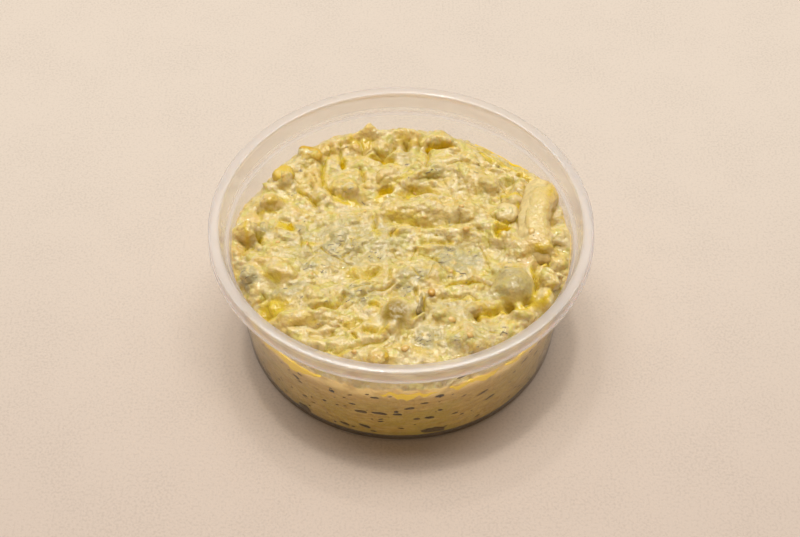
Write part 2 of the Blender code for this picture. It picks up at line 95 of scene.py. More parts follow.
# Creases of the mash: line points, half-width, depth.
CREASES = {
    "hook": (((-23, 41), (-25, 36), (-26, 31), (-25, 24), (-23, 21), (-20, 19), (-17, 17), (-13, 16.5)), 1.1, 1.2),
    "beside_hook": (((-32, 21.5), (-30, 19), (-27, 15.5)), 1.4, 1.5),
    "outer_bank": (((-28, 29), (-27.5, 25), (-29, 22)), 1.4, 0.8),
    "over_pool": (((-8.5, 35), (-5, 37.5), (-2, 41)), 1.3, 1.4),
    "far_pocket": (((-13.5, 44), (-13, 40)), 1.8, 1.6),
    "far_line": (((-20, 44), (-20, 38), (-18.7, 31)), 0.9, 0.9),
    "slit_a": (((-13.3, 31.5), (-11.8, 27)), 0.9, 1.0),
    "slit_b": (((-18.5, 24.5), (-16.5, 22.5)), 0.6, 0.7),
    "far_notch": (((2.3, 45.5), (2.2, 40)), 1.7, 2.2),
    "far_crease": (((8.8, 43), (8.6, 38), (8, 33)), 1.0, 1.3),
    "far_hole": (((6, 34), (8.5, 33)), 1.4, 1.2),
    "far_slot": (((9.5, 42.6), (18, 42.2)), 1.2, 1.6),
    "upper_line": (((15, 33.5), (19, 34.7), (24, 32)), 0.7, 0.6),
    "edge_line_a": (((26, 38.5), (30, 34), (35, 30.5)), 0.9, 1.0),
    "edge_line_b": (((29, 33), (32, 31), (38, 28.5)), 0.7, 0.8),
    "edge_line_c": (((38, 28.5), (40.5, 25)), 0.8, 1.0),
    "beside_round": (((31, 25), (33, 22), (33.5, 20.5), (37.5, 20.5)), 0.9, 1),
    "under_round": (((30, 11), (31.5, 9), (34.5, 8.7), (37, 12), (38, 15.5)), 1.1, 1.2),
    "below_round": (((30.5, 8), (29.7, 4), (30, 2)), 1.0, 1.1),
    "right_groove": (((25, 15.5), (27, 12), (29, 10)), 0.8, 0.9),
    "upper_hollow": (((1, 18.7), (3.5, 21), (8, 21.2), (11, 20)), 1.8, 1.2),
    "step_toe": (((-3, 9.3), (1, 7.8), (6, 7), (11, 8), (16, 7.5), (20, 9)), 2.0, 1),
    "step_hole": (((-1.6, 5), (-3, 3)), 1.2, 1.7),
    "step_end": (((-8.8, 11), (-8, 6)), 0.9, 0.8),
    "second_step": (((7, 0.2), (12, 0), (15, 1)), 1.7, 1.2),
    "third_step": (((5, -5.6), (10, -6.4)), 1.0, 0.8),
    "left_seam": (((-45, 13), (-44.3, 10), (-45, 7.5)), 1.2, 1.3),
    "left_hole": (((-45.3, 4), (-44.6, 1.5), (-43, -2)), 0.9, 1.4),
    "left_gap": (((-49.5, 1), (-48, -3), (-48.7, -6)), 1.2, 1.2),
    "under_left_lump": (((-43.6, -13.4), (-42, -15.4), (-40, -16.4), (-37, -16.6)), 1, 0.6),
    "beside_left_lump": (((-36, -10), (-35.3, -15)), 1.2, 0.5),
    "left_slit": (((-42, -20), (-41.2, -22), (-42.5, -24)), 0.8, 1.0),
    "under_swirl": (((-26, -26.3), (-21, -26.6), (-18, -25), (-17, -22)), 0.9, 1.1),
    "spoon_line": (((-12.5, -23.5), (-10.5, -21), (-6, -19.5), (-2, -17.5)), 0.8, 0.9),
    "spoon_line_b": (((-14.5, -19), (-9.5, -18.2)), 0.7, 0.7),
    "olive_hollow": (((-15.5, -13.5), (-12, -15), (-9, -14), (-7.5, -12)), 1.5, 1.1),
    "tan_pit": (((-9, -24.6), (-6.5, -25.6)), 1.3, 1.1),
    "under_near_fold": (((-36, -33), (-32, -33.3), (-28, -33), (-23, -31.5)), 1.6, 0.5),
    "near_hollow": (((-18, -32), (-15, -34), (-12, -32), (-9.5, -31)), 1.4, 1),
    "near_slit": (((-14.7, -35.7), (-13.4, -37.7)), 0.8, 1.1),
    "near_olive": (((-10, -34.5), (-6.5, -35), (-4, -32)), 1.5, 1.1),
    "front_line": (((-25, -43), (-18, -43.6), (-13, -41.6), (-11, -40)), 1.1, 1),
    "front_line_b": (((-1.5, -31), (-2.3, -34), (-5, -39.5), (-10, -40)), 1.1, 0.9),
    "curl_shadow": (((3.4, -29.3), (6.3, -26.5), (5.6, -22), (4.2, -19.3)), 0.8, 1.4),
    "oil_arc": (((14.5, -18), (19, -16.5), (23, -16), (27.3, -18.2)), 1.0, 1.1),
    "oil_arc_b": (((13, -22.5), (17, -23), (20.5, -21), (23, -22.4)), 1.1, 1.0),
    "near_right": (((22, -29.3), (27, -28.6), (31, -26.6), (36, -27), (42, -29.4)), 1.2, 1.4),
    "near_right_hole": (((22.2, -29), (23, -31.8)), 1.1, 1.6),
    "right_seam": (((31, -26), (38, -24.6), (39.5, -24.5), (40.3, -21), (41.3, -16), (41, -11), (43, -8)), 1, 1.4),
    "right_gap": (((42, -4.5), (42.6, -8), (45.5, -8), (46.5, -12)), 1, 1.3),
    "brown_line": (((24.3, 0), (26, -5.5), (27.6, -10), (28, -13)), 0.6, 0.7),
    "arc_a": (((10, -6.5), (12, -9), (14.3, -14)), 0.7, 0.7),
    "arc_b": (((8, -14.8), (10, -10.3)), 0.8, 0.8),
    "arc_c": (((-4, -15), (-3, -11), (0, -9.3), (3, -10), (6.5, -14.5)), 0.7, 0.7),
    "arc_d": (((-24.5, -2), (-22, -5), (-18, -8), (-15.5, -9.5)), 0.7, 0.7),
    "arc_e": (((-15, 1), (-16, -4), (-18, -6.5)), 0.7, 0.7),
    "small_slit": (((4.2, -3.5), (3, -7.3)), 0.6, 0.8),
    "skin_slit": (((-31, -2), (-30.3, 2)), 0.6, 0.6),
}

# Ridges and rounded banks: line points, half-width, height.
RIDGES = {
    "step_edge": (((-5, 14.5), (2, 18), (8, 19), (14, 18), (20, 15.5), (27, 11)), 2.2, 1.1),
    "upper_step": (((10, 25), (15, 23), (17, 20.5), (18.5, 17)), 1.8, 0.5),
    "right_bank": (((20, 22.5), (25, 22), (27.5, 18), (28.5, 14)), 2.0, 0.5),
    "diagonal": (((-8, 17.5), (-2, 22), (2, 26), (6, 29)), 1.5, 0.5),
    "hook_bank": (((-29.5, 29), (-27.6, 24), (-24.5, 19), (-19, 15.3), (-14, 15)), 1.5, 0.9),
    "far_row": (((-18, 46), (-10, 49), (-3, 48), (6, 47)), 2.2, 0.8),
    "left_smooth": (((-46, -1), (-41, -3.5), (-35, -5), (-29, -4.5)), 2.6, 0.9),
    "left_smooth_b": (((-44, -7), (-38, -7.5), (-32, -9)), 1.8, 0.7),
    "near_fold_top": (((-35, -28.5), (-30, -27.6), (-25, -28.6), (-18, -27.2), (-12, -26), (-8, -28.5), (-6.5, -31)), 2.4, 0.3),
    "near_fold_mid": (((-34, -36), (-28, -36), (-22, -35), (-16.5, -36)), 1.8, 0.6),
    "near_fold_low": (((-28, -40), (-20, -40.6), (-14.5, -39.3), (-12, -37)), 2.2, 0.6),
    "near_fold_end": (((-9, -38), (-3.5, -36.5), (0, -34)), 2.2, 0.5),
    "front_band": (((-13, -43.4), (-4, -43), (6, -42.4), (15, -43.2)), 1.8, 0.4),
    "near_right_edge": (((24, -30.8), (30, -29.3), (36, -29.5), (41, -32)), 1.8, 0.7),
    "plateau_edge": (((-1, 3.4), (5, 5.4), (12, 4), (19, 4), (25, 2)), 1.8, 0.8),
    "plateau_edge_b": (((2, -2.5), (8, -3), (12, -2)), 1.3, 0.6),
    "hook_apron": (((-18.6, 21.4), (-16, 19.2), (-12.8, 18.3)), 3.2, 1.3),
    "left_lump_apron": (((-42.5, -14.8), (-39, -16.2), (-35.5, -16)), 2.6, 1.2),
    "strip_bank": (((37.6, 24.5), (36.0, 15), (35.6, 6), (35.2, 0)), 2.6, 1.2),
    "front_left_bank": (((-24.4, -40.7), (-17.9, -43), (-10.5, -45.1)), 4.0, 0.8),
    "near_right_bank": (((15.9, -40.3), (23.3, -39.6), (31.7, -36.6)), 4.0, 0.9),
    "right_near_bank": (((46.1, -18.5), (44.3, -23.2)), 3.0, 1.2),
    "spoon_ridge": (((-16, -24.5), (-10, -23), (-4, -20.5), (-1, -17)), 1.4, 0.8),
}

# Lumps of mash that stand out: centre, half-sizes, turn in degrees, height.
MOUNDS = {
    "left_lump": ((-39.5, -12.3), (4.4, 3.4), -25, 0.6),
    "swirl_lump": ((-25.5, -20.6), (4.0, 3.0), 5, 1.3),
    "pool_lump": ((-4, 28.4), (3.6, 3.2), 0, 1.3),
    "step_bit": ((6.2, 9.4), (1.9, 1.5), 20, 1.1),
    "far_bit": ((-9.5, 37.5), (2.4, 2.0), 0, 0.9),
    "far_left_lump": ((-35.5, 24.5), (3.2, 2.6), 30, 1.0),
    "left_edge_lump": ((-49.3, 5), (2.6, 2.8), 0, 1.0),
    "left_edge_lump_b": ((-47, 9.5), (2.6, 2.0), 25, 0.9),
    "left_edge_lump_c": ((-40, 17), (2.8, 2.0), 15, 0.9),
    "right_lump_a": ((44.5, -13.5), (2.4, 3.4), 10, 1.0),
    "right_lump_b": ((43.5, -21), (2.2, 2.8), -10, 1.0),
    "right_lump_c": ((46.5, -3), (2.6, 2.2), 0, 0.9),
    "right_lump_d": ((49, -9), (1.8, 2.6), 0, 0.7),
    "edge_lump": ((33.5, 26), (2.6, 1.8), -20, 0.9),
    "arc_lump": ((10.3, -12.2), (2.0, 3.0), -30, 0.9),
    "arc_bits": ((23.5, -18.6), (2.0, 1.4), 0, 0.9),
    "skin_shoulder": ((34.6, -14.5), (6.4, 5.6), 35, 0.4),
    "brown_pit_side": ((-2.5, -23), (3.2, 2.6), 0, 0.7),
}

# Pools of oil: centre, half-sizes, turn in degrees, depth of the hollow that each lies in.
POOLS = {
    "near_left": ((-38.7, -25.2), (4.2, 4.4), -20, 1.6),
    "left": ((-36.0, 6.9), (3.4, 2.0), -38, 1.0),
    "over_lump": ((-5, 34.4), (3.4, 1.5), -5, 1.4),
    "upper": ((-4.5, 21.4), (2.2, 1.8), 40, 1.5),
    "hook": ((-16.5, 16.1), (3.0, 1.1), -25, 0.7),
    "far_slot": ((13, 42.3), (4.4, 1.2), 0, 1.7),
    "under_round": ((31.7, 5.5), (3.0, 2.2), 25, 2.0),
    "inner": ((-18.6, 33.9), (1.3, 1.8), 0, 1.2),
}
# Creases and hollows that are wet with oil: line points, half-width, strength.
OIL_LINES = (
    (((23.3, -30.6), (26, -29.4), (29.7, -27.9), (34.2, -27.1), (38.7, -26.3), (43.3, -24.8), (45.4, -24.4)), 1.3, 1),
    (((30.4, -25.2), (34, -24.8), (38.2, -24)), 1.6, 0.55),
    (((40.1, -11.4), (41.1, -15.3), (40.9, -19.3), (39.8, -23.2), (38.8, -25.5)), 1.1, 0.9),
    (((42.7, -3.2), (43.8, -6.1), (45.2, -8.9)), 1.6, 0.8),
    (((45.3, -1.6), (47.7, -4)), 1.2, 0.5),
    (((30.2, 8), (33, 7.6), (35.6, 8.5)), 1.4, 0.9),
    (((30.8, 8), (30.4, 4.7), (29.9, 1.7)), 1.3, 0.8),
    (((37.4, 14.5), (37.9, 11.5), (37.7, 8)), 1, 0.8),
    (((32.9, 20.5), (35.1, 19.7), (37.7, 19.2)), 0.9, 0.9),
    (((30.6, 17.9), (32.5, 17.9), (34.1, 18.8)), 0.9, 0.7),
    (((26.2, 38.9), (29.6, 35.3), (33.7, 32.1), (38.1, 29), (41.5, 26.3)), 0.8, 0.8),
    (((22.7, 43.5), (27.2, 40.3), (31.7, 36.6), (36, 32.1)), 0.7, 0.7),
    (((47.3, 26.3), (47.8, 23.2), (47.3, 19.7)), 1, 0.6),
    (((39.1, 28.5), (40.2, 25.8), (41.4, 24.1)), 0.9, 0.7),
    (((-24.5, 35.7), (-25.6, 30.2), (-24.7, 24), (-22, 19.2), (-18.1, 16.1), (-14, 15.3)), 1.2, 0.75),
    (((-20.1, 18.3), (-17.5, 16.1), (-14.3, 15.3)), 1.3, 1),
    (((-5.4, 20.9), (-2.9, 24), (0.3, 27.1), (3.5, 29.4)), 1.3, 0.6),
    (((-6.7, 17.9), (-4.8, 21.4), (-3.5, 22.7)), 1.6, 0.9),
    (((0.3, 19.6), (2.5, 18.8), (4.1, 21)), 2, 0.75),
    (((5.4, 21.8), (8.3, 22.3), (11.2, 21)), 1.8, 0.5),
    (((-3.2, 10.1), (-0.3, 9.3), (2.8, 8.4)), 2.2, 0.6),
    (((3.5, 7.6), (9.1, 7.6), (15.4, 6.8), (21.7, 6.8)), 1.4, 0.3),
    (((-2.5, 3.4), (-1.2, 3)), 1.5, 0.9),
    (((8.1, 0.1), (11.5, -0.4), (14.9, -0.4)), 1.5, 0.7),
    (((5.9, -5.7), (8.9, -6.5), (11.4, -7.3)), 1, 0.5),
    (((-29.8, -0.4), (-27.7, -0.8)), 1.5, 0.8),
    (((-8.5, 5.9), (-7.2, 3.4)), 1.7, 0.6),
    (((-15.3, -12.2), (-12.5, -13.8), (-9.5, -12.6), (-7, -11.4)), 2, 0.6),
    (((-13.7, -17), (-10.6, -16.6), (-9.1, -15.8)), 1, 0.5),
    (((15, -12.6), (17.1, -13)), 0.9, 0.9),
    (((24.4, -13.8), (26.3, -12.6)), 0.9, 0.9),
    (((14, -18.9), (16.4, -17), (19.2, -15.8), (22.2, -16.2), (24.6, -17.7)), 0.9, 0.8),
    (((15.4, -24), (17.8, -23.2), (20.8, -22.5), (23.8, -23.6)), 1, 0.7),
    (((-24.9, -26.4), (-21.9, -26.4), (-18.9, -24.8)), 1, 0.6),
    (((-8.7, -24.8), (-6.9, -25.2)), 1.5, 0.8),
    (((-33.6, -31.8), (-31.2, -32.9), (-28.2, -32.5), (-25.3, -31.4)), 0.8, 0.5),
    (((-16.6, -32.9), (-13.9, -33.2), (-12.2, -31.7)), 1.5, 0.6),
    (((-14.5, -35.9), (-13.9, -37.8)), 1, 0.9),
    (((-10.1, -34.4), (-7.4, -35.1), (-4.4, -34)), 1.6, 0.6),
    (((-20.8, -43.3), (-16.7, -44.1), (-13.2, -42.2), (-11.4, -40.4)), 0.8, 0.5),
    (((3.9, -29.4), (6, -26.7), (6.9, -24)), 1, 0.7),
    (((-44, 12.7), (-41.4, 12.2), (-38.3, 12.2)), 0.8, 0.8),
    (((-49, 6.7), (-47.7, 1.7), (-48, -3.3)), 0.8, 0.6),
    (((-45, 2.5), (-43.9, 0.8)), 1, 0.8),
    (((-42.4, -14.2), (-40.5, -15.8), (-38, -16.6), (-37, -16.6)), 0.9, 0.8),
    (((-34.9, -23.3), (-33.4, -23.7)), 0.8, 0.7),
    (((-32.4, 22.2), (-30.3, 18.7), (-27, 15.7)), 1.2, 0.7),
    (((-24, 41.2), (-22, 39.3), (-20.6, 35.7)), 1, 0.5),
    (((-16.2, 43.5), (-12.9, 42.6), (-10.2, 43.1)), 1.6, 0.7),
    (((-0.4, 44.5), (3.6, 43.1), (6.2, 44.5)), 1.5, 0.5),
    (((9.5, 42.1), (13.5, 42.1), (17.4, 41.7)), 1.2, 0.9),
    (((-9.5, 35.7), (-5.6, 36.6), (-1.6, 33)), 1.4, 0.7),
    (((-13.3, 30.3), (-11.6, 27.6)), 0.8, 0.7),
    (((-18.9, 35.7), (-18.2, 32.1)), 1.1, 0.9),
    (((-36.2, 21.4), (-37.3, 17.9), (-41, 15.2)), 1.1, 0.5),
    (((-27.8, 37.5), (-25.1, 33.9), (-25.6, 30.2)), 1.4, 0.5),
)

# Painted light: the top of the pressed side is painted brighter and made to glow this far below the salad's edge,
# standing for light that comes down between the salad and the wall.
EDGE_BRIGHT = 1.6
EDGE_FADE = 4.0

OIL_BELOW_EDGE = 0.12
OIL_IN_WALL = 0.22
POOL_RAYS = 36
POOL_STEPS = 14
# A pool spreads to the wall where the wall is nearer than this many times its reach.
POOL_AT_WALL = 1.7
# Rings of a pool's surface: share of the way out, how far the oil creeps up there.
POOL_RINGS = ((0.25, 0.0), (0.6, 0.0), (0.8, 0.0), (0.9, 0.02), (0.96, 0.05), (1.03, 0.1))

# Coloured areas of the mash: centre, half-sizes, turn in degrees, strength.
GREY_AREAS = (
    ((-17, -1), (19, 10), 0, 0.6),
    ((-20, -2), (6, 6), 0, 0.9),
    ((-5, 2), (5, 9), 0, 0.5),
    ((17, -7), (9, 6), 0, 0.95),
    ((-12, -21), (5, 4), 0, 0.8),
    ((-33, -19), (7, 2.5), 0, 0.7),
    ((-28, -10), (2.6, 2.2), 0, 0.9),
    ((-46.5, -13.5), (3, 3.4), 0, 1.0),
    ((-43, 6), (3.4, 2.2), 0, 0.8),
    ((-32, 6), (2.6, 1.2), 0, 0.8),
    ((4, -13), (5, 4), 0, 0.7),
    ((1, -19), (3, 2.4), 0, 0.8),
    ((8, -38), (5, 4), 0, 0.9),
    ((18, -38.5), (6, 2.6), 10, 0.7),
    ((24, -35), (5, 5), 0, 0.45),
    ((14, -27), (7, 5), 0, 0.45),
    ((33, -15), (8, 8), 0, 0.5),
    ((11, 31), (3, 2), 0, 0.6),
    ((2, 36), (3, 3), 0, 0.5),
    ((16, 10), (8, 3), 0, 0.35),
    ((27, 21), (2, 4), 0, 0.5),
)
# Tan areas: partly the mash's own tan, partly painted shade on faces and flanks turned from the light.
TAN_AND_SHADE_AREAS = (
    ((47.5, 12.7), (1.7, 12.0), -6, 1.0),
    ((41.2, -3.2), (4.2, 5.0), 0, 1.0),
    ((-40.6, 18.6), (3.4, 2.8), 0, 1.0),
    ((-12.2, 44), (6.5, 3.4), 0, 0.7),
    ((-25.9, 40.3), (5.0, 2.6), -20, 0.6),
    ((-33, -32.4), (4.6, 1.6), 0, 0.9),
    ((-27, -32.6), (4, 1.2), 0, 0.6),
    ((-16, -33), (3.6, 2), 0, 0.7),
    ((-6.5, -44.5), (4, 2), 0, 0.9),
    ((-36.5, -13), (2, 3), 0, 0.5),
    ((-49.5, 4.5), (3, 4), 0, 0.8),
    ((-46, 9.5), (2.4, 4), 0, 0.6),
    ((-49, -2), (2.4, 5), 0, 1.0),
    ((-27.5, 27), (2, 7), 10, 0.6),
    ((-14.5, 43), (4.5, 3.4), 0, 0.9),
    ((-23, 40), (3, 4), 20, 0.7),
    ((3, 44.5), (5, 2.6), 0, 0.9),
    ((15.5, 37), (2, 1.6), 0, 0.8),
    ((-33, 13), (1.2, 2), 0, 0.9),
    ((20, 17.5), (2.4, 1.8), 0, 0.6),
    ((7, 12), (14, 3.6), -5, 0.4),
    ((24, 22), (6, 6), 0, 0.35),
    ((38.3, -7), (1.8, 2.4), 0, 0.9),
    ((44, -3), (5, 4), 0, 0.7),
    ((-5, 28), (3.6, 3), 0, 0.5),
    ((-43, -8), (4, 2), 0, 0.6),
    ((-12, 17), (4, 2.4), 0, 0.4),
    ((20.5, -34.5), (1.2, 2.4), 0, 0.9),
    ((9, -17.5), (3, 3), 0, 0.6),
    ((42, -3), (3, 6), 0, 0.4),
)

# Smooth skin and brown flesh that show at the surface: centre as seen, half-sizes, turn in degrees,
# strength.
SKIN_AREAS = (
    ((34.4, -14.4), (6.0, 7.0), 25, 0.6),
    ((37.6, -18.5), (3.0, 3.6), 20, 1.0),
)
PALE_AREAS = (
    ((42.7, 12.3), (3.9, 13.5), -6, 0.9),
)
# Brown flesh of a chunk; its front face is darkened further as painted shade.
BROWN_AND_SHADE_AREAS = (
    ((-1.5, -27.1), (3.9, 3.9), -15, 1.0),
    ((0, -21.7), (2.6, 2.4), 0, 0.35),
)

# Pieces that stand out: centre on the ground plan, half-sizes, turn in degrees, how far each stands
# above the heap, how squarish it is, how brown it is.
EGGPLANT_PIECES = {
    "curled_skin": ((5.6, -27.3), (1.1, 4.0, 3.7), -14, 0.9, 0.1, 0.8),
    "grey_left": ((-46.0, -13.0), (3.0, 2.8, 1.9), 0, -0.1, 0.2, 0.0),
}
ORANGE_PIECES = {
    "orange_far": ((-29.6, 38.2), (4.2, 2.2, 1.7), -28, 0.6, 0.15, 0.8),
    "orange_left": ((-37.8, 27.6), (3.8, 3.2, 2.4), 35, 0.7, 0.1, 0.1),
    "far_crumb": ((-10.2, 47.0), (1.9, 1.5, 1.5), 0, -0.35, 0.2, 0.9),
    "front_bit": ((-5.8, -45.6), (2.6, 1.6, 1.3), -5, 0.1, 0.2, 0.5),
}
PALE_PIECES = {
    "pale_round": ((33.2, 10.4), (3.7, 3.6, 1.9), 0, 0.8, 0.1, 0.0),
}
PIECE_UNEVEN = ((3.4, 0.6), (1.3, 0.12))

# The strip of eggplant by the right wall: its two ends, half-width, half-height.
STRIP_ENDS = ((43.2, 24.0), (39.8, -7.5))
STRIP_HALF_WIDTH = 4.9
STRIP_FAR_TAPER = 0.22
STRIP_HALF_HEIGHT = 4.1
STRIP_BOW = 1.2
STRIP_FLANK_DROP = 1.0
STRIP_LEFT_DROP = 1.7
STRIP_NEAR_DROP = 6.0
STRIP_STANDS = 0.1

# Seeds: the named ones on the ground plan, each with its size, and how many small ones lie between them.
SEEDS = (
    ((9.4, -20.3), 1.0),
    ((15, -32), 0.9),
    ((20.3, 3.6), 0.9),
    ((40.2, 0.6), 1.0),
    ((1.3, -42.7), 0.9),
    ((-29, -1), 0.45),
    ((20.5, -39.3), 0.8),
    ((-27, -13.7), 0.5),
    ((-11.4, 12.5), 0.5),
    ((19, 11.3), 0.6),
)
SEED_HALF_SIZES = (1.45, 1.2, 0.9)
SMALL_SEEDS = 16

# Flecks of skin on top: centre as seen, how far they lie round it, how many.
SKIN_SPOTS = (
    ((14.5, -5.5), 3.2, 8),
    ((22.5, -5.5), 2.4, 5),
    ((18.5, -12.8), 1.6, 4),
    ((12, -8), 2.0, 4),
    ((7, -38.5), 2.6, 9),
    ((17, -38.3), 2.0, 5),
    ((21, -42), 2.0, 3),
    ((-29, -9.7), 1.4, 5),
    ((-8, -5.3), 1.8, 5),
    ((-12, -21.5), 2.6, 8),
    ((-15, -23.5), 1.2, 3),
    ((-24, -13), 1.4, 4),
    ((-43, 6), 2.2, 5),
    ((-32, 6.2), 1.4, 4),
    ((5, -13), 1.8, 4),
    ((1, -19), 1.8, 5),
    ((-14, 0), 2.4, 5),
    ((-20, -3), 4.5, 8),
    ((30, -34), 2.6, 5),
    ((10.5, 30.8), 1.8, 4),
    ((-33, 31), 0.8, 2),
    ((-35, 21), 1.4, 2),
    ((-11.3, 16.3), 1.0, 3),
    ((15.5, 8), 1.0, 3),
    ((1.5, 34), 1.4, 3),
    ((33, -10.5), 3.0, 4),
    ((-46.5, -13.5), 2.4, 5),
)
LOOSE_FLECKS = 40
FLECK_HALF_SIZES = ((0.4, 1.3), (0.08, 0.26), 0.12)

# Dark marks of skin seen through the wall: direction in degrees, height, half-sizes, tilt in degrees.
WALL_MARKS = (
    (-113.5, 22.5, (1.21, 0.68), -2),
    (-125.5, 11.5, (1.32, 0.41), 13),
    (-117, 15, (0.99, 0.41), 11),
    (-103.5, 15, (2.42, 0.74), 5),
    (-97, 15.5, (2.86, 0.68), -3),
    (-91, 15.5, (1.76, 0.54), 1),
    (-87, 19, (1.98, 0.61), 10),
    (-80, 12.5, (1.87, 0.68), -12),
    (-84.5, 12.5, (1.32, 0.54), -4),
    (-110, 5, (1.98, 0.68), -10),
    (-102.5, 6.5, (2.42, 0.68), -21),
    (-78, 4.5, (4.18, 1.35), -3),
    (-61, 18.5, (2.42, 0.47), 18),
    (-57.5, 13.5, (2.2, 0.47), 13),
    (-76.5, 16, (0.99, 0.54), -20),
    (-91.5, 17, (0.88, 0.68), 1),
    (-128, 20.5, (1.76, 0.54), -15),
    (-70, 32.5, (1.54, 0.41), 10),
    (-77, 24.5, (1.76, 0.68), 0),
    (-126.5, 3.5, (2.86, 1.76), -11),
    (-106.5, 18.5, (1.43, 0.41), 2),
    (-82, 21.5, (1.54, 0.41), -1),
    (-71, 12, (1.32, 0.41), 1),
    (-98.5, 24.5, (1.65, 0.41), 1),
    (-43, 22, (1.98, 0.41), 17),
    (-36, 19, (1.65, 0.41), 14),
    (58, 5, (2.4, 0.7), 3),
)
# Small flecks seen through the wall: how many, the heights between which they lie, their half-sizes.
WALL_FLECKS = 170
WALL_FLECK_HEIGHTS = (3.5, 26.0)
WALL_FLECK_HALF_SIZES = ((0.3, 1.3), (0.12, 0.34), 0.14)

# Oil that lies between the salad and the wall: from and to in degrees, how far below the salad's
# edge it begins, its greatest depth.
WALL_OIL = (
    (-153, -117, 0.0, 4.6),
    (-97, -78, 2.0, 2.6),
    (-74, -56, 0.6, 3.4),
    (-54, -30, 0.2, 2.8),
    (38, 62, 0.0, 0.8),
)

# The smeared plateau, where lumps are small: centre and half-sizes.
PLATEAU = ((-10, -5), (24, 13))

# Where the mash is drawn out smooth, its lumps and relief are softened: centre as seen, half-sizes,
# turn in degrees, strength.
SOFT_AREAS = (
    ((35.4, -15.5), (4.8, 5.6), 25, 0.8),
    ((38.0, -26.0), (6.5, 3.2), 10, 0.8),
    ((-1.5, -27.1), (5.0, 4.6), -15, 1.0),
    ((-16.5, 20.5), (4.5, 4.0), 0, 1.0),
    ((-39.5, -13.5), (5.0, 4.0), -10, 0.9),
    ((-47.0, 9.0), (3.0, 4.0), 0, 0.6),
    ((36.0, 12.0), (1.6, 12.0), 0, 0.7),
    ((42.8, 11), (4.8, 15.5), -6, 0.9),
)
SOFT_ROUNDS = 22

# Lumps of mash all over: how many, least and greatest half-width, least and greatest stretch.
LUMP_KINDS = (
    (1000, 0.45, 0.9, 1.0, 2.0),
    (420, 0.8, 1.4, 1.2, 2.8),
    (240, 1.3, 2.1, 1.0, 2.0),
    (36, 2.0, 3.0, 1.0, 1.5),
)
PLATEAU_LARGEST = 1.2

# Folds and creases between them, and the grain: width of the pattern, height.
FOLD_WAVES = ((6.0, 0.45), (2.6, 0.42))
BULGES = ((3.2, 1.0), (1.9, 0.95), (1.1, 0.25))
GRAIN_WAVES = ((0.9, 0.08),)

# ---- colours ----
# The floor's two colours: the nearer one is darker and pinker, painted shade where the light falls off towards the
# front.
FLOOR_FAR = (0.66, 0.55, 0.455)
FLOOR_NEAR_SHADED = (0.60, 0.475, 0.39)
WALL_MILKINESS = 0.015
EDGE_MILKINESS = 0.2
# Milkiness of the tub at its heights in millimetres; what lies between two heights is blended. The thin band just
# above the foot is milky to paint a light line there, a painted highlight.
MILKY_HEIGHTS = (
    (0.5, 0.0),
    (0.9, 0.35),
    (1.5, 0.0),
    (39.2, 0.0),
    (39.8, 0.2),
    (40.7, 0.05),
    (42.3, 0.2),
    (45.4, 0.2),
    (46.2, 0.3),
)
# The lip at the foot of the rim's skirt is made milky so that it shows as a light line, a painted highlight: from and
# to in height, its milkiness.
LIP_HEIGHTS = (42.9, 43.3)
LIP_HIGHLIGHT_MILKINESS = 0.8
CREAM = (0.67, 0.48, 0.125)
PALE_CREAM = (0.72, 0.57, 0.285)
FLESH = (0.70, 0.52, 0.195)
GLASSY = (0.64, 0.52, 0.15)
GREY_GREEN = (0.47, 0.39, 0.185)
DARK_GREY = (0.34, 0.28, 0.17)
TAN_AND_SHADE = (0.66, 0.45, 0.14)
OLIVE_OIL_AND_SHADE = (0.65, 0.47, 0.06)
CREVICE_SHADE = (0.48, 0.32, 0.015)
OILY = (0.68, 0.475, 0.004)
SKIN = (0.43, 0.325, 0.12)
BROWN_AND_SHADE = (0.34, 0.215, 0.02)
SIDE_TAN = (0.54, 0.335, 0.05)
SIDE_PALE = (0.68, 0.47, 0.11)
SIDE_DARK = (0.30, 0.18, 0.025)
SIDE_GREEN = (0.52, 0.375, 0.04)
SIDE_TOP_PAINTED_LIGHT = (0.80, 0.58, 0.22)
SIDE_WARM = (0.74, 0.47, 0.14)
SIDE_FOOT_SHADE = (0.13, 0.08, 0.013)

# ---- camera ----
# The camera stands in front of the tub and looks down on it. The photograph's frame is 800 by 537
# pixels, and the middle of the rim is seen at this place in it.
FRAME_WIDTH, FRAME_HEIGHT = 800, 537
RIM_SEEN_AT = (401.5, 218.3)
FOCAL_PIXELS = 1543.3
LOOK_DOWN = math.radians(47.7)
CAMERA_DISTANCE = 8 * RIM_RADIUS * MM


# ---------------------------------------------------------------- small helpers


def deselect():
    bpy.ops.object.select_all(action="DESELECT")


def take(obj):
    """Makes one object the only selected and the active one."""
    deselect()
    obj.select_set(True)
    bpy.context.view_layer.objects.active = obj


def apply_all(obj):
    take(obj)
    for modifier in list(obj.modifiers):
        bpy.ops.object.modifier_apply(modifier=modifier.name)


def join_all(pieces, name):
    """Joins objects into the first of them."""
    take(pieces[0])
    for piece in pieces:
        piece.select_set(True)
    bpy.ops.object.join()
    pieces[0].name = name
    return pieces[0]


def arc(centre, radius, start, end, steps):
    """Points of a round stretch of a section, from start to end degrees."""
    points = []
    for step in range(steps + 1):
        angle = math.radians(start + (end - start) * step / steps)
        points.append((centre[0] + radius * math.cos(angle), centre[1] + radius * math.sin(angle)))
    return points


def wall_radius(height):
    """Radius of the tub's inner wall below the ledge, at a height or at an array of heights."""
    return WALL_BOTTOM_RADIUS + WALL_SLOPE * (height - WALL_FOOT)


def new_object(name, mesh):
    made = bpy.data.objects.new(name, mesh)
    bpy.context.scene.collection.objects.link(made)
    return made


def smooth_step(share):
    held = np.clip(share, 0.0, 1.0)
    return held * held * (3.0 - 2.0 * held)


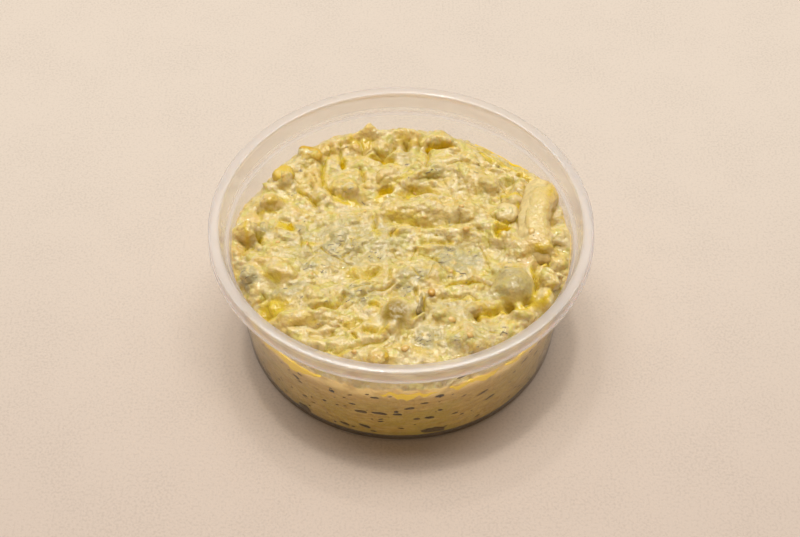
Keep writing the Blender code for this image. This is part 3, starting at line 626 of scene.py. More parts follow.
def mesh_arrays(mesh):
    points = np.zeros(len(mesh.vertices) * 3, np.float32)
    mesh.vertices.foreach_get("co", points)
    normals = np.zeros(len(mesh.vertices) * 3, np.float32)
    mesh.vertices.foreach_get("normal", normals)
    edges = np.zeros(len(mesh.edges) * 2, np.int32)
    mesh.edges.foreach_get("vertices", edges)
    return points.reshape(-1, 3).astype(float), normals.reshape(-1, 3).astype(float), edges.reshape(-1, 2)


def put_points(mesh, points):
    mesh.vertices.foreach_set("co", points.astype(np.float32).ravel())
    mesh.update()


def add_attribute(mesh, name, values):
    attribute = mesh.attributes.new(name, "FLOAT", "POINT")
    attribute.data.foreach_set("value", np.asarray(values, dtype=np.float32))


def closed_mesh(name, rows, finish=None):
    """A mesh of rings of points, each joined to the next, with the first and the last one filled."""
    count = len(rows[0])
    points = [point for row in rows for point in row]
    faces = [list(range(count - 1, -1, -1))]
    for ring in range(len(rows) - 1):
        low = ring * count
        for here in range(count):
            after = (here + 1) % count
            faces.append([low + here, low + after, low + count + after, low + count + here])
    faces.append([(len(rows) - 1) * count + number for number in range(count)])
    mesh = bpy.data.meshes.new(name)
    mesh.from_pydata(points, [], faces)
    if finish is not None:
        mesh.materials.append(finish)
    return new_object(name, mesh)


# ---------------------------------------------------------------- tub


def tub_section():
    """The tub's section in millimetres: from its underside, up the outside, over the rim, down inside."""
    corner = (WALL_BOTTOM_RADIUS - CORNER_RADIUS, WALL_FOOT)
    ledge_radius = LEDGE_OUTER_RADIUS - LEDGE_WIDTH
    ledge_foot = LEDGE_HEIGHT - LEDGE_DROP
    skirt_foot = TUB_HEIGHT - SKIRT_DEPTH
    skirt_inner = RIM_TOP_RADIUS - PLASTIC
    points = [(FOOT_INNER_RADIUS - FOOT_SLOPE, BASE_LIFT), (FOOT_INNER_RADIUS, 0.0)]
    points += arc(corner, CORNER_RADIUS + PLASTIC, -90, 0, 6)
    points += [(ledge_radius + PLASTIC, ledge_foot - PLASTIC / 2)]
    points += [(LEDGE_OUTER_RADIUS + PLASTIC, LEDGE_HEIGHT - PLASTIC / 2)]
    points += arc((RIM_INNER_RADIUS + 2 * PLASTIC, TUB_HEIGHT - 2 * PLASTIC), PLASTIC, 180, 90, 3)
    points += arc((skirt_inner - PLASTIC, TUB_HEIGHT - 2 * PLASTIC), PLASTIC, 90, 0, 3)
    points += [(skirt_inner, skirt_foot + SKIRT_LIP)]
    points += arc((RIM_RADIUS, skirt_foot + SKIRT_LIP), SKIRT_LIP, -90, 60, 4)
    points += [(RIM_TOP_RADIUS, skirt_foot + 3 * SKIRT_LIP)]
    points += arc((RIM_TOP_RADIUS - RIM_ROUND, TUB_HEIGHT - RIM_ROUND), RIM_ROUND, 0, 90, 5)
    points += arc((RIM_INNER_RADIUS + RIM_ROUND, TUB_HEIGHT - RIM_ROUND), RIM_ROUND, 90, 180, 5)
    points += [(LEDGE_OUTER_RADIUS, LEDGE_HEIGHT), (ledge_radius, ledge_foot)]
    points += arc(corner, CORNER_RADIUS, 0, -90, 6)
    points += [(FOOT_INNER_RADIUS, PLASTIC), (FOOT_INNER_RADIUS - FOOT_SLOPE, BASE_LIFT + PLASTIC)]
    return points


def make_tub():
    """A disc for the underside, extruded ring by ring along the section to the inner floor."""
    section = tub_section()
    radius, height = section[0]
    deselect()
    bpy.ops.mesh.primitive_circle_add(
        vertices=TUB_SIDES,
        radius=radius * MM,
        fill_type="NGON",
        location=(0.0, 0.0, height * MM),
    )
    tub = bpy.context.active_object
    tub.name = "tub_shell"
    bpy.ops.object.transform_apply(location=True, rotation=False, scale=False)
    bpy.ops.object.mode_set(mode="EDIT")
    for next_radius, next_height in section[1:]:
        rise = (next_height - height) * MM
        bpy.ops.mesh.extrude_region_move(TRANSFORM_OT_translate={"value": (0.0, 0.0, rise)})
        grow = next_radius / radius
        bpy.ops.transform.resize(value=(grow, grow, 1.0), center_override=(0.0, 0.0, 0.0))
        radius, height = next_radius, next_height
    bpy.ops.mesh.select_all(action="SELECT")
    bpy.ops.mesh.normals_make_consistent(inside=False)
    bpy.ops.object.mode_set(mode="OBJECT")
    bpy.ops.object.shade_smooth_by_angle(angle=math.radians(40))
    return tub


# ---------------------------------------------------------------- salad


def make_core():
    """The CAD solid, closed and smoothed, as the form that the salad keeps."""
    core = new_object("salad_heap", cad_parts["salad"].data.copy())
    bm = bmesh.new()
    bm.from_mesh(core.data)
    bmesh.ops.remove_doubles(bm, verts=bm.verts, dist=0.01 * MM)
    bm.to_mesh(core.data)
    bm.free()
    core.data.materials.clear()
    fuse = core.modifiers.new("Fuse", "REMESH")
    fuse.mode = "VOXEL"
    fuse.voxel_size = CORE_VOXEL * MM
    soften = core.modifiers.new("Soften", "SMOOTH")
    soften.factor = 0.6
    soften.iterations = 10
    apply_all(core)
    return core


def lump_shape(draw, subdivisions=2):
    """The points and faces of one uneven rounded lump of unit size."""
    bm = bmesh.new()
    bmesh.ops.create_icosphere(bm, subdivisions=subdivisions, radius=1.0)
    shift = Vector([draw.uniform(0.0, 50.0) for _ in range(3)])
    for vert in bm.verts:
        vert.co *= 1.0 + 0.45 * noise.noise(vert.co * 1.1 + shift)
    points = np.array([v.co[:] for v in bm.verts])
    faces = np.array([[v.index for v in f.verts] for f in bm.faces])
    bm.free()
    return points, faces


def joined(name, shapes, places):
    """One mesh object with a copy of one of the shapes at each place, a 4 by 4 matrix.

    Each copy's points carry its own share from 0 to 1, as the attribute "own".
    """
    points, faces, own, base = [], [], [], 0
    for number, place in enumerate(places):
        shape_points, shape_faces = shapes[number % len(shapes)]
        points.append(shape_points @ np.array(place.to_3x3()).T + np.array(place.translation))
        faces.append(shape_faces + base)
        own.append(np.full(len(shape_points), (number * 0.618034) % 1.0))
        base += len(shape_points)
    mesh = bpy.data.meshes.new(name)
    mesh.from_pydata(np.concatenate(points).tolist(), [], np.concatenate(faces).tolist())
    add_attribute(mesh, "own", np.concatenate(own))
    made = new_object(name, mesh)
    take(made)
    bpy.ops.object.shade_smooth()
    return made


def camera_place():
    rim_middle = Vector((0.0, 0.0, TUB_HEIGHT * MM))
    return rim_middle + CAMERA_DISTANCE * Vector((0.0, -math.cos(LOOK_DOWN), math.sin(LOOK_DOWN)))


def settled(tree, x, y):
    """The place on the salad that is seen at (x, y) of the seen level, and the surface's normal there.

    A place just beyond the salad's edge is drawn in until it lies on the salad.
    """
    eye = camera_place()
    point = None
    while point is None:
        aim = (Vector((x, y, SEEN_LEVEL)) * MM - eye).normalized()
        point, normal, _, _ = tree.ray_cast(eye, aim)
        x *= 0.99
        y *= 0.99
    return point, normal


def settled_line(tree, line):
    """The flat run, in millimetres, of a line whose points are given as seen."""
    return [(settled(tree, x, y)[0] / MM)[:2] for x, y in line]


def ground_under(tree, x, y):
    """The salad's surface under a place, and its normal, in metres."""
    point, normal, _, _ = tree.ray_cast(Vector((x, y, 0.1)), Vector((0.0, 0.0, -1.0)))
    return point, normal


def from_line(x, y, line):
    """Distance of each place from a line of points."""
    nearest = np.full(np.shape(x), np.inf)
    for (ax, ay), (bx, by) in zip(line, line[1:]):
        run_x, run_y = bx - ax, by - ay
        share = np.clip(((x - ax) * run_x + (y - ay) * run_y) / (run_x**2 + run_y**2), 0.0, 1.0)
        nearest = np.minimum(nearest, np.hypot(x - ax - share * run_x, y - ay - share * run_y))
    return nearest


def flow_at(x, y, lines):
    """The direction in which the mash is smeared at a place, from the nearest creases and ridges."""
    even, odd = 0.0, 0.0
    for line in lines:
        for (ax, ay), (bx, by) in zip(line, line[1:]):
            away = (x - (ax + bx) / 2) ** 2 + (y - (ay + by) / 2) ** 2
            length = math.hypot(bx - ax, by - ay)
            twice = 2 * math.atan2(by - ay, bx - ax)
            even += length * math.cos(twice) / (away + 12.0)
            odd += length * math.sin(twice) / (away + 12.0)
    return math.atan2(odd, even) / 2


def inside_oval(x, y, centre, half_sizes, turn=0.0):
    """0 at the centre of an oval and 1 on its edge, for each place."""
    across = math.radians(turn)
    off_x, off_y = x - centre[0], y - centre[1]
    along = (off_x * math.cos(across) + off_y * math.sin(across)) / half_sizes[0]
    beside = (off_y * math.cos(across) - off_x * math.sin(across)) / half_sizes[1]
    return np.hypot(along, beside)


def lump_places(tree, draw, lines):
    """Places for the lumps: spread over the heap, each laid along the slope and the smear there."""
    smooth = [(settled_line(tree, [area[0]])[0], area[1]) for area in SOFT_AREAS]
    places = []
    for count, least, greatest, short, long in LUMP_KINDS:
        for _ in range(count):
            angle = draw.uniform(0.0, math.tau)
            out = HEAP_REACH * math.sqrt(draw.random()) * MM
            point, normal = ground_under(tree, out * math.cos(angle), out * math.sin(angle))
            size = draw.uniform(least, greatest)
            sway = draw.uniform(-0.4, 0.4)
            stretch = draw.uniform(short, long)
            flat = draw.uniform(0.55, 0.85)
            sink = draw.uniform(0.45, 0.95)
            if point is None:
                continue
            x, y = point.x / MM, point.y / MM
            if size > PLATEAU_LARGEST and inside_oval(x, y, *PLATEAU) < 1.0:
                continue
            if size > PLATEAU_LARGEST and any(inside_oval(x, y, *area) < 1.0 for area in smooth):
                continue
            size *= MM
            flow = flow_at(x, y, lines) + sway
            along = Vector((math.cos(flow), math.sin(flow), 0.0))
            along = (along - normal * along.dot(normal)).normalized()
            across = normal.cross(along)
            turn = Matrix((along * size * stretch, across * size, normal * size * flat)).transposed()
            sunk = point - normal * size * flat * sink
            places.append(Matrix.Translation(sunk) @ turn.to_4x4())
    return places


def press_to_wall(mesh):
    """Presses the salad's side flat, just into the wall, so that no air shows between them.

    What lies a little further in is stretched outwards with it, so that the top stays even.
    """
    points, _, _ = mesh_arrays(mesh)
    radius = np.hypot(points[:, 0], points[:, 1]) / MM
    height = points[:, 2] / MM
    wall = wall_radius(height)
    drop = np.clip(WALL_FOOT - height, 0.0, CORNER_RADIUS)
    wall = wall - CORNER_RADIUS + np.sqrt(CORNER_RADIUS**2 - drop**2)
    share = (radius - wall + STRETCHED_WITHIN) / (STRETCHED_WITHIN - PRESSED_WITHIN)
    stretched = radius + (PRESSED_WITHIN + PRESSED_DEPTH) * smooth_step(share)
    target = np.minimum(stretched, wall + PRESSED_DEPTH)
    grow = target / np.maximum(radius, 0.001)
    points[:, 0] *= grow
    points[:, 1] *= grow
    foot = np.interp(target, (FOOT_INNER_RADIUS - FOOT_SLOPE, FOOT_INNER_RADIUS), (BASE_LIFT, 0.0))
    bottom = (foot + PLASTIC - PRESSED_DEPTH) * MM
    low = points[:, 2] < (foot + PLASTIC + PRESSED_WITHIN) * MM
    points[:, 2] = np.where(low, bottom, points[:, 2])
    put_points(mesh, points)


def hollowness(points, normals, edges, rounds):
    """How far each point lies below the average of its surroundings, in metres."""
    smooth = points.copy()
    ends = np.concatenate([edges, edges[:, ::-1]])
    count = np.bincount(ends[:, 0], minlength=len(points))[:, None]
    for _ in range(rounds):
        total = np.stack(
            [np.bincount(ends[:, 0], smooth[ends[:, 1], axis], len(points)) for axis in range(3)],
            axis=1,
        )
        smooth = total / np.maximum(count, 1)
    return np.einsum("ij,ij->i", smooth - points, normals)


def relief_noise(place):
    """Folds with sharp creases between them, and a fine grain, in millimetres."""
    warped = place + 2.0 * noise.noise_vector(place / 8.0)
    warped.x *= 0.75
    lift = 0.0
    for width, size in FOLD_WAVES:
        lift += size * (abs(noise.noise(warped / width)) - 0.22)
    for width, size in BULGES:
        nearest = noise.voronoi(warped / width)[0][0]
        lift += size * (0.5 - nearest * nearest) * (0.6 + 0.8 * noise.noise(place / (3 * width)))
    for width, size in GRAIN_WAVES:
        lift += size * noise.noise(place / width)
    return lift


def swayed(points, numbers):
    """Places on the ground plan, moved about a little so that drawn edges come out uneven."""
    sway = np.array([noise.noise_vector(Vector(points[n]) / MM / 4.5)[:2] for n in numbers])
    x = points[numbers, 0] / MM + 0.9 * sway[:, 0]
    y = points[numbers, 1] / MM + 0.9 * sway[:, 1]
    return x, y


def sculpt(mesh, tree):
    """Works the named creases, ridges, lumps and pools and the fine relief into the open surface."""
    points, normals, _ = mesh_arrays(mesh)
    radius = np.hypot(points[:, 0], points[:, 1]) / MM
    wall = wall_radius(points[:, 2] / MM)
    free = smooth_step((wall - radius) / 1.5) * smooth_step((normals[:, 2] + 0.5) / 0.5)
    worked = np.flatnonzero(free > 0.0)
    fine = np.array([relief_noise(Vector(points[number]) / MM) for number in worked])
    x, y = swayed(points, worked)
    rise = np.zeros(len(worked))
    for line, half_width, height in RIDGES.values():
        rise += height * smooth_step(1.0 - from_line(x, y, settled_line(tree, line)) / half_width)
    for centre, half_sizes, turn, height in MOUNDS.values():
        share = inside_oval(x, y, settled_line(tree, [centre])[0], half_sizes, turn)
        rise += height * np.sqrt(np.clip(1.0 - share**2, 0.0, 1.0))
    for line, half_width, depth in CREASES.values():
        away = from_line(x, y, settled_line(tree, line)) / half_width
        rise -= depth * np.clip(1.0 - away, 0.0, 1.0) ** 1.4
        rise += 0.22 * depth * np.exp(-(((away - 1.7) / 0.6) ** 2))
    calm = np.ones(len(worked))
    for centre, half_sizes, turn, depth in POOLS.values():
        share = inside_oval(x, y, settled_line(tree, [centre])[0], half_sizes, turn)
        rise -= depth * smooth_step(1.35 - share)
        calm = np.minimum(calm, smooth_step(share / 1.3))
    for centre, half_sizes, turn, strength in SKIN_AREAS + BROWN_AND_SHADE_AREAS:
        share = inside_oval(x, y, settled_line(tree, [centre])[0], half_sizes, turn)
        calm = np.minimum(calm, 1.0 - 0.75 * strength * smooth_step((1.2 - share) / 0.5))
    held = free[worked]
    points[worked] += normals[worked] * (fine * calm * held * MM)[:, None]
    points[worked, 2] += rise * held * MM
    put_points(mesh, points)


def soften_areas(mesh, tree):
    """Evens out the places where the mash is drawn out smooth."""
    points, _, edges = mesh_arrays(mesh)
    share = area_shares(mesh, tree, SOFT_AREAS)
    ends = np.concatenate([edges, edges[:, ::-1]])
    ends = ends[share[ends[:, 0]] > 0.0]
    count = np.maximum(np.bincount(ends[:, 0], minlength=len(points)), 1)
    for _ in range(SOFT_ROUNDS):
        for axis in range(3):
            mean = np.bincount(ends[:, 0], points[ends[:, 1], axis], len(points)) / count
            points[:, axis] += np.where(share > 0.0, 0.8 * share * (mean - points[:, axis]), 0.0)
    put_points(mesh, points)


def area_shares(mesh, tree, areas):
    """How much of a colour each point has, from the ovals of that colour."""
    points, _, _ = mesh_arrays(mesh)
    x, y = swayed(points, range(len(points)))
    shares = np.zeros(len(points))
    for centre, half_sizes, turn, strength in areas:
        away = inside_oval(x, y, settled_line(tree, [centre])[0], half_sizes, turn)
        shares = np.maximum(shares, strength * smooth_step((1.3 - away) / 0.7))
    return shares


def oil_shares(mesh, tree):
    """How oily each point is, from the lines of oil and the pools."""
    points, _, _ = mesh_arrays(mesh)
    x, y = swayed(points, range(len(points)))
    shares = np.zeros(len(points))
    for line, half_width, strength in OIL_LINES:
        away = from_line(x, y, settled_line(tree, line)) / half_width
        shares = np.maximum(shares, strength * smooth_step((1.25 - away) / 0.9))
    return shares


def colour_areas(mesh, tree):
    """The attributes that the mash's colours follow."""
    points, normals, edges = mesh_arrays(mesh)
    add_attribute(mesh, "pit", hollowness(points, normals, edges, 4) / MM)
    add_attribute(mesh, "hollow", hollowness(points, normals, edges, 30) / MM)
    for name, areas in (("grey", GREY_AREAS), ("tan", TAN_AND_SHADE_AREAS), ("skin", SKIN_AREAS), ("brown", BROWN_AND_SHADE_AREAS), ("pale", PALE_AREAS)):
        add_attribute(mesh, name, area_shares(mesh, tree, areas))
    pools = [(centre, half, turn, 1.0) for centre, half, turn, _ in POOLS.values()]
    add_attribute(mesh, "oil", np.maximum(oil_shares(mesh, tree), area_shares(mesh, tree, pools)))


def mark_edge(mesh, contact):
    """The attribute "edge": height of the salad's edge on the wall beside each point, in metres."""
    points, _, _ = mesh_arrays(mesh)
    degrees = np.degrees(np.arctan2(points[:, 1], points[:, 0])) % 360.0
    around = np.concatenate([contact[-6:], contact, contact[:6]])
    level = np.convolve(around, np.ones(9) / 9, "same")[6:-6]
    add_attribute(mesh, "edge", np.interp(degrees, np.arange(360), level, period=360) * MM)


def make_heap(core):
    """The salad: the core fused with its lumps, then sculpted, pressed to the wall and coloured."""
    draw = random.Random(SEED)
    tree = BVHTree.FromObject(core, bpy.context.evaluated_depsgraph_get())
    lines = [settled_line(tree, line) for line, _, _ in [*CREASES.values(), *RIDGES.values()]]
    shapes = [lump_shape(draw) for _ in range(12)]
    lumps = joined("lumps", shapes, lump_places(tree, draw, lines))
    heap = join_all([core, lumps], "salad_heap")
    fuse = heap.modifiers.new("Fuse", "REMESH")
    fuse.mode = "VOXEL"
    fuse.voxel_size = FUSE_VOXEL * MM
    soften = heap.modifiers.new("Soften", "SMOOTH")
    soften.factor = 0.5
    soften.iterations = 4
    apply_all(heap)
    sculpt(heap.data, tree)
    soften_areas(heap.data, tree)
    press_to_wall(heap.data)
    thin = heap.modifiers.new("Thin", "DECIMATE")
    thin.ratio = min(1.0, HEAP_FACES / sum(len(p.vertices) - 2 for p in heap.data.polygons))
    apply_all(heap)
    colour_areas(heap.data, tree)
    take(heap)
    bpy.ops.object.shade_smooth()
    return heap, tree


# ---------------------------------------------------------------- pieces in the salad


def rounded_piece(name, row, tree):
    """A ball made oval and squarish, turned and set on the heap, with an uneven skin."""
    (x, y), half_sizes, turn, stands, squarish, brown = row
    top, _ = ground_under(tree, x * MM, y * MM)
    deselect()
    bpy.ops.mesh.primitive_ico_sphere_add(subdivisions=5, radius=MM)
    piece = bpy.context.active_object
    piece.name = name
    points, _, _ = mesh_arrays(piece.data)
    widest = np.abs(points).max(axis=1, keepdims=True)
    put_points(piece.data, points * (1.0 - squarish + squarish * MM / widest))
    bpy.ops.object.mode_set(mode="EDIT")
    bpy.ops.transform.resize(value=half_sizes)
    bpy.ops.object.mode_set(mode="OBJECT")
    piece.rotation_euler.z = math.radians(turn)
    piece.location = (x * MM, y * MM, top.z + (stands - half_sizes[2]) * MM)
    bpy.ops.object.transform_apply(location=True, rotation=True, scale=True)
    for width, height in PIECE_UNEVEN:
        pattern = bpy.data.textures.new(f"{name}_{width}", "CLOUDS")
        pattern.noise_scale = width * MM
        push = piece.modifiers.new("Uneven", "DISPLACE")
        push.texture = pattern
        push.strength = 2 * height * MM
        push.texture_coords = "LOCAL"
    apply_all(piece)
    add_attribute(piece.data, "brown", np.full(len(piece.data.vertices), brown))
    bpy.ops.object.shade_smooth()
    return piece


def rounded_pieces(name, rows, tree):
    return join_all([rounded_piece(key, row, tree) for key, row in rows.items()], name)


def make_strip(tree):
    """A block, turned along the wall, bowed, sloping to its right, with an uneven skin."""
    (ax, ay), (bx, by) = STRIP_ENDS
    length = math.hypot(bx - ax, by - ay)
    middle = ((ax + bx) / 2, (ay + by) / 2)
    top, _ = ground_under(tree, middle[0] * MM, middle[1] * MM)
    deselect()
    bpy.ops.mesh.primitive_cube_add(size=2 * MM)
    strip = bpy.context.active_object
    strip.name = "eggplant_strip"
    bpy.ops.object.mode_set(mode="EDIT")
    bpy.ops.transform.resize(value=(STRIP_HALF_WIDTH, length / 2, STRIP_HALF_HEIGHT))
    bpy.ops.mesh.bevel(offset=1.0 * MM, segments=3)
    bpy.ops.mesh.select_all(action="SELECT")
    bpy.ops.mesh.subdivide(number_cuts=9)
    bpy.ops.object.mode_set(mode="OBJECT")
    fuse = strip.modifiers.new("Fuse", "REMESH")
    fuse.mode = "VOXEL"
    fuse.voxel_size = 0.4 * MM
    soften = strip.modifiers.new("Soften", "SMOOTH")
    soften.factor = 0.6
    soften.iterations = 8
    apply_all(strip)
    points, _, _ = mesh_arrays(strip.data)
    along = points[:, 1] / (length / 2 * MM)
    across = points[:, 0] / (STRIP_HALF_WIDTH * MM)
    # Painted shade: the strip's right flank is coloured tan; its near end is tan too.
    shaded_flank = smooth_step((across - 0.25 - 0.1 * np.sin(9.0 * along)) / 0.35)
    points[:, 2] += STRIP_BOW * (0.5 - along**2) * MM
    points[:, 2] -= STRIP_NEAR_DROP * np.clip(-along - 0.45, 0.0, 1.0) * MM
    points[:, 2] -= STRIP_FLANK_DROP * np.clip(across - 0.2, 0.0, 1.0) * MM
    points[:, 2] -= STRIP_LEFT_DROP * smooth_step(-across - 0.05) * MM
    points[:, 0] *= 1.0 - STRIP_FAR_TAPER * np.clip(along, 0.0, 1.0)
    points[:, 0] += STRIP_BOW * along**2 * MM
    put_points(strip.data, points)
    near_end = 0.7 * smooth_step((-along - 0.35) / 0.4)
    add_attribute(strip.data, "brown", np.maximum(shaded_flank, near_end))
    strip.rotation_euler.z = math.atan2(ax - bx, by - ay) + math.pi
    rise = STRIP_STANDS - STRIP_HALF_HEIGHT - STRIP_BOW / 2
    strip.location = (middle[0] * MM, middle[1] * MM, top.z + rise * MM)
    bpy.ops.object.transform_apply(location=True, rotation=True, scale=True)
    points, _, _ = mesh_arrays(strip.data)
    room = wall_radius(points[:, 2] / MM) * MM - np.hypot(points[:, 0], points[:, 1])
    drawn_in = 1.0 + np.minimum(room - 0.6 * MM, 0.0) / np.hypot(points[:, 0], points[:, 1])
    points[:, :2] *= drawn_in[:, None]
    put_points(strip.data, points)
    for width, height in ((6.0, 0.7), (3.0, 0.3)):
        pattern = bpy.data.textures.new(f"strip_{width}", "CLOUDS")
        pattern.noise_scale = width * MM
        push = strip.modifiers.new("Uneven", "DISPLACE")
        push.texture = pattern
        push.strength = 2 * height * MM
        push.texture_coords = "LOCAL"
    soften = strip.modifiers.new("Soften", "SMOOTH")
    soften.factor = 0.5
    soften.iterations = 4
    apply_all(strip)
    bpy.ops.object.shade_smooth()
    return strip


def lying_at(point, normal, half_sizes, turn, sink):
    """The place of a small thing that lies on a slope, sunk by a share of its half-height."""
    along = Vector((math.cos(turn), math.sin(turn), 0.0))
    along = (along - normal * along.dot(normal)).normalized()
    across = normal.cross(along)
    sizes = Matrix(
        (along * half_sizes[0] * MM, across * half_sizes[1] * MM, normal * half_sizes[2] * MM)
    ).transposed()
    return Matrix.Translation(point - normal * half_sizes[2] * sink * MM) @ sizes.to_4x4()


def seed_shape():
    """A flat drop: a ball drawn out at one end."""
    deselect()
    bpy.ops.mesh.primitive_ico_sphere_add(subdivisions=3, radius=1.0)
    ball = bpy.context.active_object
    points = np.array([v.co[:] for v in ball.data.vertices])
    faces = np.array([list(p.vertices) for p in ball.data.polygons])
    bpy.data.objects.remove(ball)
    tip = np.clip(points[:, 0], 0.0, 1.0) ** 2
    points[:, 1] *= 1.0 - 0.45 * tip
    points[:, 0] += 0.15 * tip
    return points, faces


def make_seeds(tree, draw):
    places = []
    for (x, y), size in SEEDS:
        point, normal = ground_under(tree, x * MM, y * MM)
        half_sizes = [size * half for half in SEED_HALF_SIZES]
        places.append(lying_at(point, normal, half_sizes, draw.uniform(0.0, math.tau), 0.45))
    while len(places) < len(SEEDS) + SMALL_SEEDS:
        angle = draw.uniform(0.0, math.tau)
        out = (HEAP_REACH - 4.0) * math.sqrt(draw.random()) * MM
        point, normal = ground_under(tree, out * math.cos(angle), out * math.sin(angle))
        size = draw.uniform(0.35, 0.6)
        half_sizes = [size * half for half in SEED_HALF_SIZES]
        places.append(lying_at(point, normal, half_sizes, draw.uniform(0.0, math.tau), 0.3))
    return joined("seeds", [seed_shape()], places)


def flake_shape():
    """A thin bent flake with a ragged outline, of unit half-sizes."""
    deselect()
    bpy.ops.mesh.primitive_uv_sphere_add(segments=10, ring_count=6, radius=1.0)
    ball = bpy.context.active_object
    points = np.array([v.co[:] for v in ball.data.vertices])
    faces = [list(p.vertices) for p in ball.data.polygons]
    bpy.data.objects.remove(ball)
    ragged = np.array([noise.noise(Vector(point) * 1.7) for point in points])
    points[:, :2] *= (1.0 + 0.5 * ragged)[:, None]
    points[:, 2] -= 0.8 * points[:, 0] ** 2
    triangles = []
    for face in faces:
        for number in range(1, len(face) - 1):
            triangles.append([face[0], face[number], face[number + 1]])
    return points, np.array(triangles)


def make_skin_flecks(tree, draw):
    """Thin dark flakes of skin, lying in the mash at the named spots and thinly all over."""
    (short, long), (narrow, wide), thick = FLECK_HALF_SIZES
    spots = []
    for (x, y), reach, count in SKIN_SPOTS:
        for _ in range(count):
            angle = draw.uniform(0.0, math.tau)
            out = reach * math.sqrt(draw.random())
            spots.append((x + out * math.cos(angle), y + out * math.sin(angle)))
    for _ in range(LOOSE_FLECKS):
        angle = draw.uniform(0.0, math.tau)
        out = 46.0 * math.sqrt(draw.random())
        spots.append((out * math.cos(angle), out * math.sin(angle)))
    places = []
    for x, y in spots:
        point, normal = settled(tree, x, y)
        half_sizes = (draw.uniform(short, long), draw.uniform(narrow, wide), thick)
        turn = draw.gauss(0.25, 0.45)
        if normal.z > 0.2:
            places.append(lying_at(point, normal, half_sizes, turn, 0.35))
    return joined("skin_flecks", [flake_shape()], places)


def on_wall(degrees, height, half_sizes, tilt):
    """The place of a flat thing pressed into the wall's inner face."""
    angle = math.radians(degrees)
    out = Vector((math.cos(angle), math.sin(angle), 0.0))
    along = Vector((-math.sin(angle), math.cos(angle), 0.0))
    up = Vector((out.x * WALL_SLOPE, out.y * WALL_SLOPE, 1.0)).normalized()
    level = along * math.cos(tilt) + up * math.sin(tilt)
    steep = up * math.cos(tilt) - along * math.sin(tilt)
    sizes = Matrix(
        (level * half_sizes[0] * MM, steep * half_sizes[1] * MM, out * half_sizes[2] * MM)
    ).transposed()
    place = out * (wall_radius(height) + PRESSED_DEPTH) * MM
    place.z = height * MM
    return Matrix.Translation(place) @ sizes.to_4x4()


def make_wall_flecks(draw, contact):
    """Marks and flecks of skin that show through the wall, below the salad's edge."""
    (short, long), (narrow, wide), thick = WALL_FLECK_HALF_SIZES
    places = []
    for degrees, height, (half_long, half_high), tilt in WALL_MARKS:
        places.append(on_wall(degrees, height, (half_long, half_high, thick), math.radians(tilt)))
    for _ in range(WALL_FLECKS):
        degrees = draw.uniform(-180.0, 180.0)
        height = draw.uniform(*WALL_FLECK_HEIGHTS)
        half_sizes = (draw.uniform(short, long), draw.uniform(narrow, wide), thick)
        tilt = draw.gauss(0.12, 0.25)
        if height < contact[int(degrees) % 360] - 2.5:
            places.append(on_wall(degrees, height, half_sizes, tilt))
    return joined("wall_flecks", [flake_shape()], places)


def contact_heights(mesh):
    """Height of the salad's edge on the wall for each degree round from +X, in millimetres."""
    points, _, _ = mesh_arrays(mesh)
    radius = np.hypot(points[:, 0], points[:, 1]) / MM
    height = points[:, 2] / MM
    pressed = radius > wall_radius(height) + PRESSED_DEPTH / 2
    degrees = np.degrees(np.arctan2(points[:, 1], points[:, 0]))
    heights = []
    for centre in range(360):
        off = np.abs((degrees - centre + 180.0) % 360.0 - 180.0)
        heights.append(np.percentile(height[pressed & (off < 1.5)], 99.0))
    doubled = np.array(heights * 3)
    return np.convolve(doubled, np.ones(3) / 3, "same")[360:720]


def make_wall_oil(contact):
    """Thin bands of oil pressed between the salad and the wall, along the salad's edge."""
    bands = []
    for start, end, below, deepest in WALL_OIL:
        rows = []
        for step in range(start, end + 1):
            share = (step - start) / (end - start)
            broad = noise.noise(Vector((step / 6.0, deepest, 0.0)))
            narrow = noise.noise(Vector((step / 2.0, deepest, 5.0)))
            uneven = max(0.4, 0.85 + 0.8 * broad + 0.5 * narrow)
            depth = 0.05 + deepest * math.sin(math.pi * share) ** 0.8 * uneven
            top = contact[step % 360] + 0.1 - below * (0.8 + narrow)
            angle = math.radians(step)
            row = []
            for height, off in ((top, OIL_IN_WALL), (top, -0.4), (top - depth, -0.4), (top - depth, OIL_IN_WALL)):
                out = (wall_radius(height) + off) * MM
                row.append((out * math.cos(angle), out * math.sin(angle), height * MM))
            rows.append(row)
        bands.append(closed_mesh("wall_oil", rows))
    oil = join_all(bands, "wall_oil")
    bpy.ops.object.mode_set(mode="EDIT")
    bpy.ops.mesh.select_all(action="SELECT")
    bpy.ops.mesh.normals_make_consistent(inside=False)
    bpy.ops.object.mode_set(mode="OBJECT")
    return oil


def reach_of(half_sizes, turn, angle):
    """The way from an oval's centre to its edge, in one direction."""
    across = math.radians(turn)
    along, beside = half_sizes[0] * math.cos(angle), half_sizes[1] * math.sin(angle)
    return np.array(
        [
            along * math.cos(across) - beside * math.sin(across),
            along * math.sin(across) + beside * math.cos(across),
        ]
    )


def ground_level(tree, place):
    """The salad's height under a place, in millimetres; 0 beside the salad."""
    point, _ = ground_under(tree, place[0] * MM, place[1] * MM)
    return point.z / MM if point is not None else 0.0


def share_to_wall(middle, reach, height):
    """How many reaches away the wall is, at a height."""
    along = float(middle @ reach)
    length = float(reach @ reach)
    room = wall_radius(height) ** 2 - float(middle @ middle)
    return (math.sqrt(along * along + length * room) - along) / length


